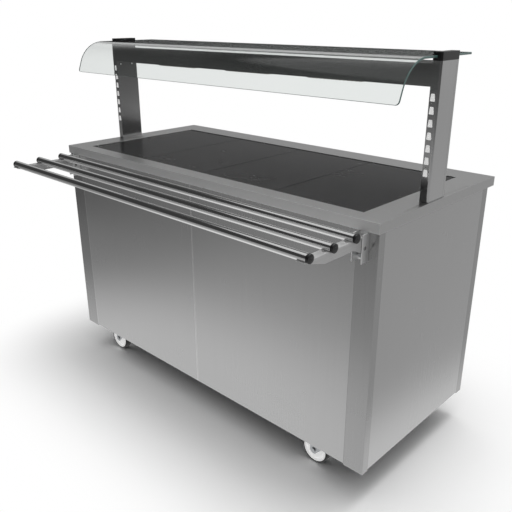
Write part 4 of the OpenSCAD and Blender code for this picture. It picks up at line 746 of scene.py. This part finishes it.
for x in lamp_xs:
    for y in (-long_wire_y, 0, long_wire_y):
        turned(guards, long_wire, (x, lamp_y + y, guard_z + long_wire_z), "X", 10)
    for side in (-1, 1):
        near, far = sorted((lamp_y + side * strip_in, lamp_y + side * (strip_in + strip_w)))
        slab(guards, (x - guard_half, near, guard_z), (x + guard_half, far, guard_z + strip_t))
        near, far = sorted((x + side * (guard_half - end_w), x + side * guard_half))
        slab(guards, (near, lamp_y - strip_in, guard_z), (far, lamp_y + strip_in, guard_z + strip_t))
piece("wire_guards", guards, bright_aluminium, "counter", ["lamp_guards"])

# The gantry glass: one 6 mm toughened sheet, bent down at the customers' side, with ground and
# softly polished edges and two rounded lower corners. It lies in the grooves of the caps.
clear_glass, start = finish("clear_glass")
film = cloud(start, 0.2, (1, 1, 1), 3.0)
grazing = start.node("ShaderNodeLayerWeight", {}, {"Blend": 0.5}, out="Facing").between(0.78, 0.95)
body_tint = film.mixed((0.8, 0.83, 0.818, 1), (0.825, 0.845, 0.835, 1))
surface(start, Base_Color=grazing.mixed(body_tint, (0.5, 0.56, 0.54, 1)), IOR=1.3,
        Transmission_Weight=1.0, Roughness=film * 0.008 + 0.002, Normal=bumps(start, film, 0.0001, 0.02))
ground_edge, start = finish("ground_glass_edge")
grind = cloud(start, 0.0008)
surface(start, Base_Color=grind.mixed((0.05, 0.11, 0.1, 1), (0.12, 0.22, 0.205, 1)), IOR=1.5,
        Roughness=grind * 0.2 + 0.15, Coat_Weight=0.4, Normal=bumps(start, grind, 0.0001, 0.3))
low, high, middle = box_mm("gantry_glass")
glass_t, arris, bend_y, bend_r, bend_turn = 6.0, 0.7, -19.5, 111.0, math.radians(69.5)
drop, corner_r, bend_steps, corner_steps = 39.0, 10.0, 36, 8
bend_z = high.z - bend_r
stations = [(high.y, high.z, 0.0, 0.0), (high.y - arris, high.z, 0.0, 0.0)]
for i in range(bend_steps + 1):
    turn = bend_turn * i / bend_steps
    stations.append((bend_y - bend_r * math.sin(turn), bend_z + bend_r * math.cos(turn), turn, 0.0))
bend_end_y, bend_end_z = stations[-1][:2]
corner_cuts = [corner_r * math.sin(math.pi / 2 * i / corner_steps) for i in range(corner_steps)]
for cut in sorted(corner_cuts + [corner_r - arris, corner_r]):
    down = drop - corner_r + cut
    y, z = bend_end_y - down * math.cos(bend_turn), bend_end_z - down * math.sin(bend_turn)
    stations.append((y, z, bend_turn, cut))
glass = bmesh.new()
loops = []
for k, (y, z, turn, cut) in enumerate(stations):
    pinch = arris if k in (0, len(stations) - 1) else 0.0
    half = high.x - corner_r + math.sqrt(corner_r**2 - cut**2) - pinch
    section = [(half - arris, pinch), (half, arris + pinch),
               (half, glass_t - arris - pinch), (half - arris, glass_t - pinch)]
    section += [(-x, depth) for x, depth in section[::-1]]
    inward_y, inward_z = math.sin(turn), -math.cos(turn)
    loops.append([glass.verts.new((x, y + inward_y * deep, z + inward_z * deep)) for x, deep in section])
broad_faces = (3, 7)
for k, (low_loop, high_loop) in enumerate(zip(loops, loops[1:])):
    at_rim = k in (0, len(loops) - 2)
    for i in range(len(low_loop)):
        j = (i + 1) % len(low_loop)
        face = glass.faces.new((low_loop[i], low_loop[j], high_loop[j], high_loop[i]))
        face.material_index = 0 if i in broad_faces and not at_rim else 1
for loop in (loops[0], loops[-1]):
    glass.faces.new(loop).material_index = 1
piece("bent_glass", glass, [clear_glass, ground_edge], "counter", ["gantry_glass"],
      smooth_to=28)

# The tray slide's arms and brackets: channels folded from steel, with the arms' cheeks between
# the brackets', and domed pivot pins through both. The arms' steel is painted paler than the
# cabinet's and the brackets' paler still, a painted sheen.
# Painted sheen: the arms' steel is paler than the cabinet's and the brackets' much paler, so that they read
# as brightly lit where their reflections are shaded.
arm_steel_painted_sheen = brushed_steel("arm_steel_painted_sheen", 0.6, 0.48, "Y", 0.1, 71)
bracket_steel_painted_sheen = brushed_steel("bracket_steel_painted_sheen", 0.88, 0.5, "Z", 0.1, 79)
dress("tray_arms", arm_steel_painted_sheen, 0.0006)
dress("tray_brackets", bracket_steel_painted_sheen, 0.0008)
turned_steel, start = finish("turned_steel")
lathe = cloud(start, 0.0008, (0.3, 1, 1), 1.0)
surface(start, Base_Color=lathe.mixed(grey(0.28), grey(0.42)), Metallic=1.0,
        Roughness=lathe * 0.15 + 0.22, Normal=bumps(start, lathe, 0.00004, 0.4))
low, high, middle = box_mm("tray_pivots")
pin_r, head_r, head_t, bracket_width = 4.0, 5.5, 1.5, 33.0
bracket_out = high.x - head_t
bracket_in = bracket_out - bracket_width
pin_head = [(pin_r, 0), (head_r, 0), (head_r - 0.3, 0.8), (3.5, head_t - 0.1), (0, head_t)]
pins = bmesh.new()
for side in (-1, 1):
    pin = [(r, side * (bracket_in - up)) for r, up in pin_head[::-1]]
    pin += [(r, side * (bracket_out + up)) for r, up in pin_head]
    turned(pins, pin, (0, middle.y, middle.z), "X", 40)
piece("pivot_pins", pins, turned_steel, "counter", ["tray_pivots"])

# The rails: three bright-polished steel tubes that rest in the arms' seats, closed at both ends
# by black caps with a plug inside the tube, a rounded rim and a small moulding mark.
rail_steel, start = finish("rail_steel")
draw_lines = cloud(start, 0.0009, (200, 1, 1), 1.0)
tray_rub = cloud(start, 0.03, (3, 1, 1), 3.0, 5)
surface(start, Base_Color=(draw_lines * 0.6 + tray_rub * 0.4).mixed(grey(0.64), grey(0.76)), Metallic=1.0,
        Roughness=draw_lines * 0.05 + tray_rub * 0.06 + 0.05,
        Normal=bumps(start, draw_lines, 0.00002, 0.15))
low, high, middle = box_mm("tray_rails")
rail_r, rail_bore, rail_pitch, plug_r, plug_deep = 12.5, 11.0, 93.0, 10.7, 18.0
rail_end = [(rail_r, -0.5), (rail_r - 0.5, 0), (rail_bore, 0)]
cap_outline = [
    (0, -plug_deep), (plug_r, -plug_deep), (plug_r, 0), (rail_r - 0.3, 0), (rail_r, 0.3), (rail_r, 6.4),
    (12.2, 7.4), (11.4, 8.1), (10.2, 8.4), (9.6, 8.2), (9, 8.3), (7, 8.7), (4.6, 8.9), (4.3, 8.5), (3, 8.5),
    (2.7, 8.95), (1.2, 9), (0.9, 8.6), (0, 8.6)]
tubes, plugs = bmesh.new(), bmesh.new()
for row in (1, 0, -1):
    centre = (0, middle.y + row * rail_pitch, middle.z)
    tube = [(r, -high.x - up) for r, up in rail_end[::-1]] + [(r, high.x + up) for r, up in rail_end]
    turned(tubes, tube, centre, "X", 96, ring=True)
    for side in (-1, 1):
        turned(plugs, [(r, side * (high.x + up)) for r, up in cap_outline], centre, "X", 64)
piece("rail_tubes", tubes, rail_steel, "tray", ["tray_rails"])
piece("rail_plugs", plugs, black_plastic, "tray", ["rail_caps"], smooth_to=50)

# The castors: zinc-plated top plates and ball races, pressed forks, and wheels with a pale
# plastic centre and a dark grey rubber tyre. The rear two have red foot brakes. The pale wheel
# centres carry a painted glow.
zinc, start = finish("zinc_plate")
bloom = cloud(start, 0.02, (1, 1, 1), 4.0)
surface(start, Base_Color=bloom.mixed((0.3, 0.31, 0.32, 1), (0.44, 0.45, 0.46, 1)), Metallic=1.0,
        Roughness=bloom * 0.25 + 0.22, Normal=bumps(start, cloud(start, 0.001), 0.00005, 0.4))
dress("castor_plates", zinc, 0.0008)
pale_plastic_painted_glow, start = finish("pale_plastic_painted_glow")
grain = cloud(start, 0.0009)
scuff = cloud(start, 0.012, (1, 1, 1), 4.0, 5).between(0.62, 0.8)
# The pale plastic glows a little: a painted glow that keeps the wheel centres white in the shade under the
# counter.
surface(start, Base_Color=scuff.mixed((0.93, 0.93, 0.92, 1), (0.66, 0.66, 0.65, 1)),
        Roughness=grain * 0.15 + scuff * 0.2 + 0.32, Normal=bumps(start, grain, 0.0001, 0.3),
        Emission_Color=grey(1.0), Emission_Strength=0.4)
rubber, start = finish("grey_rubber")
dull = cloud(start, 0.0012, (1, 1, 1), 3.0)
dusty = cloud(start, 0.02, (1, 1, 1), 4.0, 5)
surface(start, Base_Color=dusty.mixed((0.012, 0.012, 0.0125, 1), (0.035, 0.035, 0.034, 1)),
        Roughness=dull * 0.15 + 0.6, Normal=bumps(start, dull, 0.0002, 0.5))
hub_half = [
    (6.05, 18.2), (11.2, 18.2), (12, 17.4), (12, 15.6), (13.4, 15.2), (15.6, 12.2), (16.6, 11.2),
    (33.6, 11.2), (34.8, 12.4), (35.4, 14.6), (36, 15), (43.6, 15), (44.4, 14.2), (44.4, 12.2), (38, 11.8)]
tyre_half = [
    (38.05, 11.6), (44.5, 12.0), (44.5, 14.4), (45, 15.5), (46.2, 15.8), (47.4, 15.2), (48.6, 14),
    (49.4, 12), (49.8, 9), (50, 4)]
for number in range(1, 5):
    dress(f"castor_fork_{number}", zinc, 0.0008)
    low, high, middle = box_mm(f"castor_wheel_{number}")
    hub, tyre = bmesh.new(), bmesh.new()
    turned(hub, hub_half + [(r, -h) for r, h in hub_half[::-1]], middle, "Y", 72, ring=True)
    turned(tyre, tyre_half + [(r, -h) for r, h in tyre_half[::-1]], middle, "Y", 96, ring=True)
    body, solid = f"wheel_{number}", f"castor_wheel_{number}"
    piece(f"wheel_centre_{number}", hub, pale_plastic_painted_glow, body, [solid], smooth_to=45)
    piece(f"wheel_tyre_{number}", tyre, rubber, body, [solid], smooth_to=45)
red_paint, start = finish("red_paint")
worn = cloud(start, 0.008, (1, 1, 1), 4.0).between(0.66, 0.74)
surface(start, Base_Color=worn.mixed((0.42, 0.022, 0.02, 1), (0.2, 0.19, 0.18, 1)), Metallic=worn * 0.8,
        Roughness=worn * 0.1 + 0.32, Normal=bumps(start, worn * -1.0, 0.0002, 0.4))
for number in (3, 4):
    dress(f"brake_pedal_{number}", red_paint, 0.0006)

# The cable gland in the plinth: a ribbed dome nut on a flange, open through its middle, for a
# supply cable, with a square locknut behind the sheet. Bolts, washers and nuts everywhere are zinc
# plated.
low, high, middle = box_mm("cable_gland")
flange_r, gland_bore, thread_r = 14.0, 4.5, 10.0
nut_back, nut_face, nut_half, nut_bore = 6.2, 1.2, 13.0, 9.6
rib_count, rib_deep, rib_from, rib_to = 12, 1.0, 5.5, 17.0
gland_x = high.x - flange_r
gland_outline = [
    (gland_bore, -16), (thread_r, -16), (thread_r, -nut_back), (thread_r, 0), (flange_r - 0.6, 0),
    (flange_r, 0.6), (flange_r, 4.4), (flange_r - 0.6, 5), (11, 5), (11, 5.6), (10.6, 8), (9.6, 11.5),
    (8.2, 15), (6.8, 18), (6, 19), (gland_bore, 19)]


def gland_ribs(radius, along, angle):
    if radius <= 7 or not rib_from < along < rib_to:
        return 0
    return rib_deep / 2 * (math.cos(rib_count * angle) - 1)


gland = bmesh.new()
turned(gland, gland_outline, (gland_x, panel_y, middle.z), "Y", 72, ring=True, wave=gland_ribs)
nut_sides = [
    (-nut_half, -nut_half, -nut_bore, nut_half), (nut_bore, -nut_half, nut_half, nut_half),
    (-nut_bore, nut_bore, nut_bore, nut_half), (-nut_bore, -nut_half, nut_bore, -nut_bore)]
for x0, z0, x1, z1 in nut_sides:
    slab(gland, (gland_x + x0, panel_y - nut_back, middle.z + z0),
         (gland_x + x1, panel_y - nut_face, middle.z + z1))
piece("gland", gland, black_plastic, "counter", ["cable_gland"])
dress("fasteners", zinc, 0.0004)
